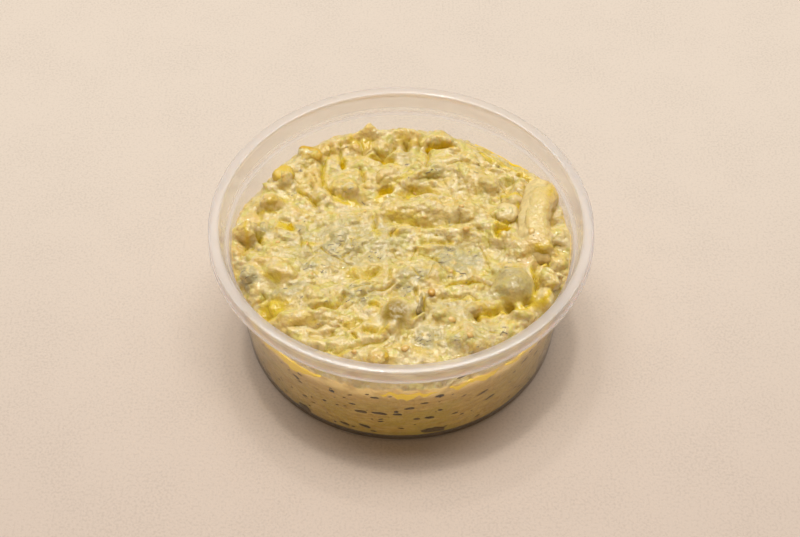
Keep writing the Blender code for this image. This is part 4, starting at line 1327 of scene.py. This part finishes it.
def make_pool(name, row, core_tree, tree, contact):
    """Oil that fills a hollow up to its lowest bank or up to the wall, creeping up all round its edge."""
    centre, half_sizes, turn, _ = row
    middle = np.array(settled_line(core_tree, [centre])[0])
    reaches = [reach_of(half_sizes, turn, math.tau * number / POOL_RAYS) for number in range(POOL_RAYS)]
    rays = []
    for reach in reaches:
        wall_share = share_to_wall(middle, reach, SEEN_LEVEL)
        heights = np.array([ground_level(tree, middle + reach * step / 10) for step in range(1, POOL_STEPS + 1)])
        rays.append((reach, wall_share, heights))
    at_wall = POOL_AT_WALL
    level = min(heights[5:].max() for _, wall_share, heights in rays if wall_share > at_wall) - OIL_BELOW_EDGE
    edge = []
    for reach, wall_share, heights in rays:
        above = np.flatnonzero(heights > level)
        last = above[0] if len(above) else int(np.argmax(heights))
        share = (last + 1) / 10
        if wall_share < at_wall:
            out = share_to_wall(middle, reach, level) + OIL_IN_WALL / np.hypot(*reach)
            edge.append((reach * out, level, 0.0))
        else:
            edge.append((reach * share, min(level, heights[last]), 0.6))
    rows = []
    for share, creep in POOL_RINGS:
        ring = []
        for off, height, _ in edge:
            x, y = middle + off * share
            ring.append((x * MM, y * MM, (level + (height - level) * share**4 + creep) * MM))
        rows.append(ring)
    for share, sink in ((1.0, 0.3), (0.9, 0.5), (0.6, 0.6), (0.3, 0.6)):
        ring = []
        for off, height, bank in edge:
            x, y = middle + off * (share if bank else share - 0.03)
            low = height - bank
            if share < 1.0 or not bank:
                low = max(ground_level(tree, (x, y)), contact[int(math.degrees(math.atan2(y, x))) % 360]) - sink
            low = min(low, level - 0.3)
            drawn_in = min(1.0, (wall_radius(low) + OIL_IN_WALL) / math.hypot(x, y))
            ring.append((x * drawn_in * MM, y * drawn_in * MM, low * MM))
        rows.append(ring)
    return closed_mesh(name, rows)


def make_pools(core_tree, tree, contact):
    pools = [make_pool(name, row, core_tree, tree, contact) for name, row in POOLS.items()]
    oil = join_all(pools, "oil_pools")
    bpy.ops.object.mode_set(mode="EDIT")
    bpy.ops.mesh.select_all(action="SELECT")
    bpy.ops.mesh.normals_make_consistent(inside=False)
    bpy.ops.object.mode_set(mode="OBJECT")
    bpy.ops.object.shade_smooth_by_angle(angle=math.radians(60))
    return oil


# ---------------------------------------------------------------- materials


class Finish:
    """One material with its nodes, and short ways to add more of them."""

    def __init__(self, name):
        self.made = bpy.data.materials.new(name)
        self.made.use_nodes = True
        self.nodes = self.made.node_tree.nodes
        self.links = self.made.node_tree.links
        self.shader = self.nodes["Principled BSDF"]
        self.place = self.nodes.new("ShaderNodeTexCoord").outputs["Object"]

    def feed(self, socket, value):
        if isinstance(value, bpy.types.NodeSocket):
            self.links.new(value, socket)
        elif isinstance(value, tuple) and len(value) == 3 and socket.type == "RGBA":
            socket.default_value = (*value, 1.0)
        else:
            socket.default_value = value

    def set(self, **values):
        """Sets the shader's own sockets: base_color becomes Base Color."""
        for name, value in values.items():
            words = name.replace("_", " ").title().replace("Ior", "IOR")
            self.feed(self.shader.inputs[words], value)

    def stretched(self, x, y, z):
        made = self.nodes.new("ShaderNodeMapping")
        made.inputs["Scale"].default_value = (x, y, z)
        self.links.new(self.place, made.inputs["Vector"])
        return made.outputs["Vector"]

    def grain(self, width, detail=2.0, place=None, rough=0.5):
        """Soft random pattern, 0 to 1, of about one width in millimetres."""
        made = self.nodes.new("ShaderNodeTexNoise")
        made.inputs["Scale"].default_value = 1.0 / (width * MM)
        made.inputs["Detail"].default_value = detail
        made.inputs["Roughness"].default_value = rough
        self.links.new(place or self.place, made.inputs["Vector"])
        return made.outputs["Fac"]

    def bits(self, width, low, high):
        """Soft-edged bits of about one width in millimetres: a random few of them 1, the others 0."""
        made = self.nodes.new("ShaderNodeTexVoronoi")
        made.feature = "SMOOTH_F1"
        made.inputs["Scale"].default_value = 1.0 / (width * MM)
        made.inputs["Smoothness"].default_value = 0.35
        sway = self.nodes.new("ShaderNodeTexNoise")
        sway.inputs["Scale"].default_value = 1.0 / (width * MM)
        self.links.new(self.place, sway.inputs["Vector"])
        moved = self.nodes.new("ShaderNodeVectorMath")
        moved.operation = "MULTIPLY_ADD"
        self.links.new(sway.outputs["Color"], moved.inputs[0])
        moved.inputs[1].default_value = (width * MM, width * MM, width * MM)
        self.links.new(self.place, moved.inputs[2])
        self.links.new(moved.outputs["Vector"], made.inputs["Vector"])
        parts = self.nodes.new("ShaderNodeSeparateColor")
        self.links.new(made.outputs["Color"], parts.inputs["Color"])
        return self.mapped(parts.outputs["Red"], low, high)

    def attribute(self, name):
        made = self.nodes.new("ShaderNodeAttribute")
        made.attribute_name = name
        return made.outputs["Fac"]

    def mapped(self, source, low, high, to_low=0.0, to_high=1.0):
        made = self.nodes.new("ShaderNodeMapRange")
        made.interpolation_type = "SMOOTHSTEP"
        for name, value in (("From Min", low), ("From Max", high), ("To Min", to_low), ("To Max", to_high)):
            made.inputs[name].default_value = value
        self.links.new(source, made.inputs["Value"])
        return made.outputs["Result"]

    def math(self, operation, first, second=0.0):
        made = self.nodes.new("ShaderNodeMath")
        made.operation = operation
        self.feed(made.inputs[0], first)
        self.feed(made.inputs[1], second)
        return made.outputs["Value"]

    def mixed(self, share, first, second, blend="MIX"):
        made = self.nodes.new("ShaderNodeMix")
        made.data_type = "RGBA"
        made.blend_type = blend
        self.feed(made.inputs[0], share)
        self.feed(made.inputs[6], first)
        self.feed(made.inputs[7], second)
        return made.outputs[2]

    def from_axis(self):
        """Distance from the tub's axis."""
        made = self.nodes.new("ShaderNodeVectorMath")
        made.operation = "LENGTH"
        self.links.new(self.stretched(1.0, 1.0, 0.0), made.inputs[0])
        return made.outputs["Value"]

    def blended(self, share, first, second):
        """Two shaders' nodes mixed."""
        made = self.nodes.new("ShaderNodeMixShader")
        self.feed(made.inputs["Fac"], share)
        self.links.new(first.outputs[0], made.inputs[1])
        self.links.new(second.outputs[0], made.inputs[2])
        return made

    def show(self, shader):
        self.links.new(shader.outputs[0], self.nodes["Material Output"].inputs["Surface"])

    def bump(self, source, depth, before=None):
        """A bump of a pattern, depth in millimetres."""
        made = self.nodes.new("ShaderNodeBump")
        made.inputs["Distance"].default_value = depth * MM
        self.links.new(source, made.inputs["Height"])
        if before is not None:
            self.links.new(before, made.inputs["Normal"])
        return made.outputs["Normal"]


def clear_plastic():
    """Clear plastic, a little milky, and more so where it is seen edge-on and on the flat of the rim. Milky bands at
    the foot and at the lip show as light lines, painted highlights; just above the floor its clear part is tinted
    dark, painted shade.
    """
    finish = Finish("clear_plastic")
    finish.set(base_color=(0.83, 0.725, 0.665), roughness=0.12)
    finish.set(subsurface_weight=1.0, subsurface_radius=(3.0, 2.6, 2.2), subsurface_scale=MM)
    parts = finish.nodes.new("ShaderNodeSeparateXYZ")
    finish.links.new(finish.place, parts.inputs["Vector"])
    milky = 0.0
    for (low, before), (high, after) in zip(MILKY_HEIGHTS, MILKY_HEIGHTS[1:]):
        step = finish.mapped(parts.outputs["Z"], low * MM, high * MM, 0.0, after - before)
        milky = finish.math("ADD", step, milky)
    outside = finish.mapped(finish.from_axis(), (RIM_RADIUS - 1.3) * MM, (RIM_RADIUS - 0.9) * MM)
    # Painted highlight: the lip is made milky so that it shows as a light line.
    low, high = LIP_HEIGHTS
    lip = finish.mapped(parts.outputs["Z"], high * MM, low * MM, 0.0, LIP_HIGHLIGHT_MILKINESS)
    milky = finish.math("MAXIMUM", milky, finish.math("MULTIPLY", lip, outside))
    facing = finish.nodes.new("ShaderNodeLayerWeight")
    facing.inputs["Blend"].default_value = 0.5
    edge = finish.mapped(facing.outputs["Facing"], 0.3, 1.0, WALL_MILKINESS, EDGE_MILKINESS)
    clear_foot = finish.mapped(parts.outputs["Z"], WALL_FOOT * MM, (WALL_FOOT + 1.5) * MM, 0.3, 1.0)
    share = finish.math("MAXIMUM", milky, finish.math("MULTIPLY", edge, clear_foot))
    let_by = finish.mapped(finish.nodes.new("ShaderNodeLightPath").outputs["Is Shadow Ray"], 0.0, 1.0, 1.0, 0.3)
    share = finish.math("MULTIPLY", share, let_by)
    clear = finish.nodes.new("ShaderNodeBsdfTransparent")
    # Painted shade: just above the floor the clear part is tinted dark, for a dark contact line at the foot.
    above_contact_shade = finish.mapped(parts.outputs["Z"], 0.3 * MM, 0.9 * MM)
    finish.feed(clear.inputs["Color"], finish.mixed(above_contact_shade, (0.5, 0.42, 0.3), (0.992, 0.989, 0.985)))
    film = finish.blended(share, clear, finish.shader)
    shine = finish.nodes.new("ShaderNodeBsdfGlossy")
    shine.inputs["Roughness"].default_value = 0.05
    grazing = finish.math("POWER", facing.outputs["Facing"], 4.0)
    gloss = finish.math("MULTIPLY_ADD", grazing, 0.6)
    gloss.node.inputs[2].default_value = 0.03
    finish.show(finish.blended(finish.math("MULTIPLY", gloss, let_by), film, shine))
    return finish.made


def mash():
    """Cream and mashed eggplant: pale on top; olive and oily in its hollows, the olive partly painted shade; darker
    in its pits as painted shade; tan where it is pressed, with painted light glowing along the top of that side.
    """
    finish = Finish("salad_mash")
    patches = finish.mapped(finish.grain(4.0, 2.0), 0.32, 0.68)
    colour = finish.mixed(patches, CREAM, PALE_CREAM)
    colour = finish.mixed(finish.bits(2.8, 0.60, 0.86), colour, GLASSY)
    colour = finish.mixed(finish.bits(1.7, 0.66, 0.90), colour, PALE_CREAM)
    mottle = finish.mapped(finish.grain(1.5, 2.0), 0.30, 0.66, 0.86, 1.08)
    colour = finish.mixed(1.0, colour, finish.mixed(mottle, (0.0, 0.0, 0.0), (1.0, 1.0, 1.0)), "MULTIPLY")
    grey_grain = finish.mapped(finish.grain(2.4, 3.0), 0.28, 0.58)
    grey = finish.math("MULTIPLY", finish.attribute("grey"), grey_grain)
    colour = finish.mixed(grey, colour, GREY_GREEN)
    colour = finish.mixed(finish.attribute("pale"), colour, FLESH)
    # Tan areas, partly painted shade on faces turned from the light.
    tan = finish.math("MULTIPLY", finish.attribute("tan"), 0.85)
    colour = finish.mixed(tan, colour, TAN_AND_SHADE)
    blotch = finish.mapped(finish.grain(2.0, 3.0), 0.30, 0.60, 0.45, 1.0)
    skin = finish.math("MULTIPLY", finish.attribute("skin"), blotch)
    colour = finish.mixed(skin, colour, SKIN)
    # Brown flesh, darkened on the chunk's front face as painted shade.
    colour = finish.mixed(finish.attribute("brown"), colour, BROWN_AND_SHADE)
    # The hollows turn olive: partly the oil gathered there, partly painted shade.
    hollow = finish.mapped(finish.attribute("hollow"), 0.05, 1.1, 0.0, 0.7)
    colour = finish.mixed(hollow, colour, OLIVE_OIL_AND_SHADE)
    oil = finish.attribute("oil")
    colour = finish.mixed(finish.math("MULTIPLY", oil, 0.8), colour, OILY)
    # Painted shade: pits and creases are darkened towards a deep tan.
    pit = finish.mapped(finish.attribute("pit"), 0.03, 0.26, 0.0, 0.85)
    colour = finish.mixed(pit, colour, CREVICE_SHADE)
    streak = finish.grain(0.9, 3.0, finish.stretched(0.5, 1.5, 1.0), 0.6)
    specks = finish.math("MULTIPLY", finish.mapped(streak, 0.58, 0.68, 0.0, 0.8), grey)
    colour = finish.mixed(specks, colour, DARK_GREY)
    pressed = pressed_share(finish)
    colour = finish.mixed(pressed, colour, pressed_colour(finish))
    parts = finish.nodes.new("ShaderNodeSeparateXYZ")
    finish.links.new(finish.place, parts.inputs["Vector"])
    # Painted light: the top of the pressed side is mixed towards a light cream and made to glow.
    below = finish.math("SUBTRACT", finish.attribute("edge"), parts.outputs["Z"])
    painted_edge_light = finish.mapped(below, EDGE_BRIGHT * MM, (EDGE_BRIGHT + EDGE_FADE) * MM, 1.0, 0.0)
    painted_edge_light = finish.math("MULTIPLY", painted_edge_light, pressed)
    painted_edge_light = finish.math("MULTIPLY", painted_edge_light, finish.mapped(finish.grain(5.0, 2.0), 0.3, 0.6, 0.3, 1.0))
    colour = finish.mixed(finish.math("MULTIPLY", painted_edge_light, 0.8), colour, SIDE_TOP_PAINTED_LIGHT)
    rough = finish.mapped(finish.grain(1.6, 3.0), 0.3, 0.7, 0.34, 0.6)
    dry = finish.mapped(oil, 0.2, 0.9, 1.0, 0.3)
    finish.set(
        base_color=colour,
        emission_color=SIDE_TOP_PAINTED_LIGHT,
        emission_strength=finish.math("MULTIPLY", painted_edge_light, 0.26),
        roughness=finish.math("MULTIPLY", rough, dry),
        specular_ior_level=0.35,
        coat_weight=0.55,
        coat_roughness=0.06,
        subsurface_weight=0.55,
        subsurface_radius=(2.0, 1.4, 0.6),
        subsurface_scale=MM,
    )
    soft = finish.bump(finish.grain(1.6, 2.0), 0.55)
    fine = finish.bump(finish.grain(0.6, 1.0), 0.12, soft)
    finish.set(normal=fine, coat_normal=fine)
    return finish.made


def pressed_share(finish):
    """1 where the salad lies against the wall, by its distance from the wall's inner face."""
    parts = finish.nodes.new("ShaderNodeSeparateXYZ")
    finish.links.new(finish.place, parts.inputs["Vector"])
    slope = finish.math("MULTIPLY", parts.outputs["Z"], WALL_SLOPE)
    off = finish.math("SUBTRACT", finish.from_axis(), slope)
    wall = (WALL_BOTTOM_RADIUS - WALL_SLOPE * WALL_FOOT) * MM
    return finish.mapped(off, wall - 0.4 * MM, wall + 0.05 * MM)


def pressed_colour(finish):
    """Smooth tan mash with darker bands drawn out level, as it shows through the wall, warmer higher up and darkened
    towards its foot as painted shade.
    """
    level = finish.stretched(1.0, 1.0, 3.2)
    bands = finish.mapped(finish.grain(5.0, 4.0, level, 0.6), 0.36, 0.64)
    colour = finish.mixed(bands, SIDE_TAN, SIDE_PALE)
    broad = finish.mapped(finish.grain(16.0, 2.0, level), 0.44, 0.62, 0.0, 0.7)
    colour = finish.mixed(broad, colour, SIDE_GREEN)
    dark = finish.mapped(finish.grain(2.2, 3.0, level, 0.65), 0.56, 0.70, 0.0, 0.7)
    colour = finish.mixed(dark, colour, SIDE_DARK)
    parts = finish.nodes.new("ShaderNodeSeparateXYZ")
    finish.links.new(finish.place, parts.inputs["Vector"])
    high = finish.mapped(parts.outputs["Z"], 17.0 * MM, 27.0 * MM, 0.0, 0.6)
    colour = finish.mixed(high, colour, SIDE_WARM)
    # Painted shade: the side darkens to a deep brown at its foot.
    foot = finish.mapped(parts.outputs["Z"], 0.6 * MM, 3.2 * MM, 0.95, 0.0)
    return finish.mixed(foot, colour, SIDE_FOOT_SHADE)


def eggplant():
    """Wet eggplant skin and flesh: grey-green, with paler cream smeared on it."""
    finish = Finish("eggplant")
    blotch = finish.mapped(finish.grain(3.4, 3.0), 0.4, 0.62)
    colour = finish.mixed(blotch, (0.47, 0.40, 0.20), (0.60, 0.49, 0.24))
    colour = finish.mixed(finish.attribute("brown"), colour, finish.mixed(blotch, (0.33, 0.22, 0.08), (0.56, 0.42, 0.19)))
    speck = finish.mapped(finish.grain(0.8, 3.0, rough=0.65), 0.35, 0.65, 0.8, 1.1)
    colour = finish.mixed(1.0, colour, finish.mixed(speck, (0.0, 0.0, 0.0), (1.0, 1.0, 1.0)), "MULTIPLY")
    finish.set(base_color=colour, roughness=0.38, coat_weight=0.3, coat_roughness=0.12)
    finish.set(subsurface_weight=0.1, subsurface_radius=(1.0, 0.8, 0.3), subsurface_scale=MM)
    finish.set(normal=finish.bump(finish.grain(0.7, 3.0), 0.15))
    return finish.made


def pale_flesh():
    """Pale eggplant flesh: cream on top and tan down its sides, where the tan of the strip's right flank is painted
    shade.
    """
    finish = Finish("pale_flesh")
    colour = finish.mixed(finish.attribute("brown"), (0.74, 0.56, 0.24), (0.60, 0.40, 0.13))
    speck = finish.mapped(finish.grain(1.4, 4.0, rough=0.65), 0.35, 0.65, 0.84, 1.06)
    colour = finish.mixed(1.0, colour, finish.mixed(speck, (0.0, 0.0, 0.0), (1.0, 1.0, 1.0)), "MULTIPLY")
    finish.set(base_color=colour, roughness=0.42, coat_weight=0.3, coat_roughness=0.14)
    finish.set(subsurface_weight=0.15, subsurface_radius=(1.0, 0.7, 0.3), subsurface_scale=1.2 * MM)
    finish.set(normal=finish.bump(finish.grain(1.2, 2.0), 0.2))
    return finish.made


def orange_flesh():
    finish = Finish("orange_flesh")
    colour = finish.mixed(finish.attribute("brown"), (0.66, 0.45, 0.06), (0.56, 0.31, 0.015))
    blotch = finish.mapped(finish.grain(2.2, 3.0), 0.36, 0.64, 0.0, 0.5)
    colour = finish.mixed(blotch, colour, (0.68, 0.48, 0.11))
    finish.set(base_color=colour, roughness=0.4, specular_ior_level=0.3, coat_weight=0.1, coat_roughness=0.12)
    finish.set(subsurface_weight=0.2, subsurface_radius=(1.0, 0.5, 0.2), subsurface_scale=1.2 * MM)
    finish.set(normal=finish.bump(finish.grain(0.8, 2.0), 0.15))
    return finish.made


def seed_skin():
    """Tan seeds, no two quite alike."""
    finish = Finish("seed_skin")
    colour = finish.mixed(finish.attribute("own"), (0.66, 0.38, 0.09), (0.74, 0.50, 0.17))
    finish.set(base_color=colour, roughness=0.3, coat_weight=0.4, coat_roughness=0.08)
    finish.set(subsurface_weight=0.15, subsurface_radius=(1.0, 0.5, 0.2), subsurface_scale=0.8 * MM)
    finish.set(normal=finish.bump(finish.grain(0.5, 2.0), 0.06))
    return finish.made


def dark_skin(name, dark, pale, gloss):
    """Flecks of eggplant skin, from dark to paler ones."""
    finish = Finish(name)
    colour = finish.mixed(finish.attribute("own"), dark, pale)
    grain = finish.mapped(finish.grain(0.6, 2.0), 0.35, 0.65, 0.7, 1.2)
    colour = finish.mixed(1.0, colour, finish.mixed(grain, (0.0, 0.0, 0.0), (1.0, 1.0, 1.0)), "MULTIPLY")
    finish.set(base_color=colour, roughness=0.45, specular_ior_level=0.3)
    finish.set(coat_weight=gloss, coat_roughness=0.1)
    return finish.made


def oil_film(name, body, share, painted_glow):
    """Clear yellow oil: tinted, with a sharp gloss; it can be made to glow, as painted light for light that comes
    through it from behind.
    """
    finish = Finish(name)
    finish.set(base_color=body, roughness=0.03, emission_color=body, emission_strength=painted_glow)
    clear = finish.nodes.new("ShaderNodeBsdfTransparent")
    clear.inputs["Color"].default_value = (0.99, 0.93, 0.5, 1.0)
    finish.show(finish.blended(share, clear, finish.shader))
    return finish.made


def floor_finish():
    """A pale matt surface with a fine grain, darker and pinker towards the front as painted shade."""
    finish = Finish("floor")
    cloud = finish.mapped(finish.grain(22.0, 3.0), 0.3, 0.7, 0.975, 1.02)
    fine = finish.mapped(finish.grain(0.8, 2.0), 0.25, 0.75, 0.90, 1.08)
    shade = finish.math("MULTIPLY", cloud, fine)
    white = finish.mixed(shade, (0.0, 0.0, 0.0), (1.0, 1.0, 1.0))
    parts = finish.nodes.new("ShaderNodeSeparateXYZ")
    finish.links.new(finish.place, parts.inputs["Vector"])
    # Painted shade: the colour grows darker and pinker towards the front.
    near_shade = finish.mapped(parts.outputs["Y"], 0.12, -0.16)
    colour = finish.mixed(near_shade, FLOOR_FAR, FLOOR_NEAR_SHADED)
    finish.set(base_color=finish.mixed(1.0, colour, white, "MULTIPLY"), roughness=0.9)
    finish.set(normal=finish.bump(finish.grain(0.8, 3.0), 0.12))
    return finish.made


# ---------------------------------------------------------------- stage


def make_stage():
    deselect()
    bpy.ops.mesh.primitive_plane_add(size=3.0, location=(0.0, 0.0, 0.0))
    floor = bpy.context.active_object
    floor.name = "floor"
    floor.data.materials.append(floor_finish())


def area_light(name, place, target, size, power, colour):
    lamp = bpy.data.lights.new(name, "AREA")
    lamp.shape = "RECTANGLE"
    lamp.size, lamp.size_y = size
    lamp.energy = power
    lamp.color = colour
    made = new_object(name, lamp)
    made.location = place
    made.rotation_euler = (Vector(target) - Vector(place)).to_track_quat("-Z", "Y").to_euler()
    return made


def make_lights():
    world = bpy.data.worlds.new("studio")
    world.use_nodes = True
    world.node_tree.nodes["Background"].inputs["Color"].default_value = (1.0, 0.80, 0.56, 1.0)
    world.node_tree.nodes["Background"].inputs["Strength"].default_value = 0.155
    bpy.context.scene.world = world
    area_light("key", (0.0, 0.45, 1.5), (0.0, 0.0, 0.03), (2.0, 0.8), 29.5, (0.94, 0.98, 1.0))
    area_light("fill", (0.0, -1.25, 0.24), (0.0, 0.0, 0.03), (1.6, 0.3), 3.2, (1.0, 0.88, 0.7))
    area_light("lamp", (-0.12, 0.42, 1.5), (0.0, 0.0, 0.03), (0.12, 0.12), 5.0, (1.0, 0.985, 0.95))


def make_camera():
    below = math.atan((FRAME_HEIGHT / 2 - RIM_SEEN_AT[1]) / FOCAL_PIXELS)
    beside = math.atan((RIM_SEEN_AT[0] - FRAME_WIDTH / 2) / FOCAL_PIXELS)
    lens = bpy.data.cameras.new("camera")
    lens.sensor_width = 36.0
    lens.lens = FOCAL_PIXELS * lens.sensor_width / FRAME_WIDTH
    lens.clip_start = 0.01
    camera = new_object("camera", lens)
    camera.location = camera_place()
    camera.rotation_euler = (math.pi / 2 - LOOK_DOWN - below, 0.0, beside)
    bpy.context.scene.camera = camera


def place_piece(piece, finish, node):
    """Gives a piece its finish, lets it ride with the part and hides the solid it stands for."""
    piece.data.materials.clear()
    piece.data.materials.append(finish)
    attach(piece, "root")
    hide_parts(node)


def main():
    make_camera()
    make_stage()
    make_lights()
    bpy.context.scene.view_settings.view_transform = "Standard"
    draw = random.Random(SEED + 1)
    place_piece(make_tub(), clear_plastic(), "tub")
    heap, core_tree = make_heap(make_core())
    tree = BVHTree.FromObject(heap, bpy.context.evaluated_depsgraph_get())
    contact = contact_heights(heap.data)
    mark_edge(heap.data, contact)
    place_piece(heap, mash(), "salad")
    skin = rounded_pieces("eggplant_pieces", EGGPLANT_PIECES, core_tree)
    place_piece(skin, eggplant(), "salad")
    flesh = join_all([make_strip(core_tree), rounded_pieces("pale", PALE_PIECES, core_tree)], "pale_pieces")
    place_piece(flesh, pale_flesh(), "salad")
    orange = rounded_pieces("orange_pieces", ORANGE_PIECES, core_tree)
    place_piece(orange, orange_flesh(), "salad")
    place_piece(make_seeds(tree, draw), seed_skin(), "salad")
    top_flecks = dark_skin("skin_flecks", (0.24, 0.17, 0.08), (0.55, 0.44, 0.24), 0.3)
    place_piece(make_skin_flecks(tree, draw), top_flecks, "salad")
    wall_flecks = dark_skin("wall_flecks", (0.035, 0.02, 0.002), (0.14, 0.08, 0.012), 0.0)
    place_piece(make_wall_flecks(draw, contact), wall_flecks, "salad")
    oil = oil_film("oil", (0.78, 0.55, 0.015), 0.16, 0.0)
    place_piece(make_pools(core_tree, tree, contact), oil, "salad")
    # Painted light: the oil pressed against the wall glows a little.
    pressed_oil = oil_film("pressed_oil", (0.84, 0.60, 0.03), 0.75, 0.28)
    place_piece(make_wall_oil(contact), pressed_oil, "salad")


main()
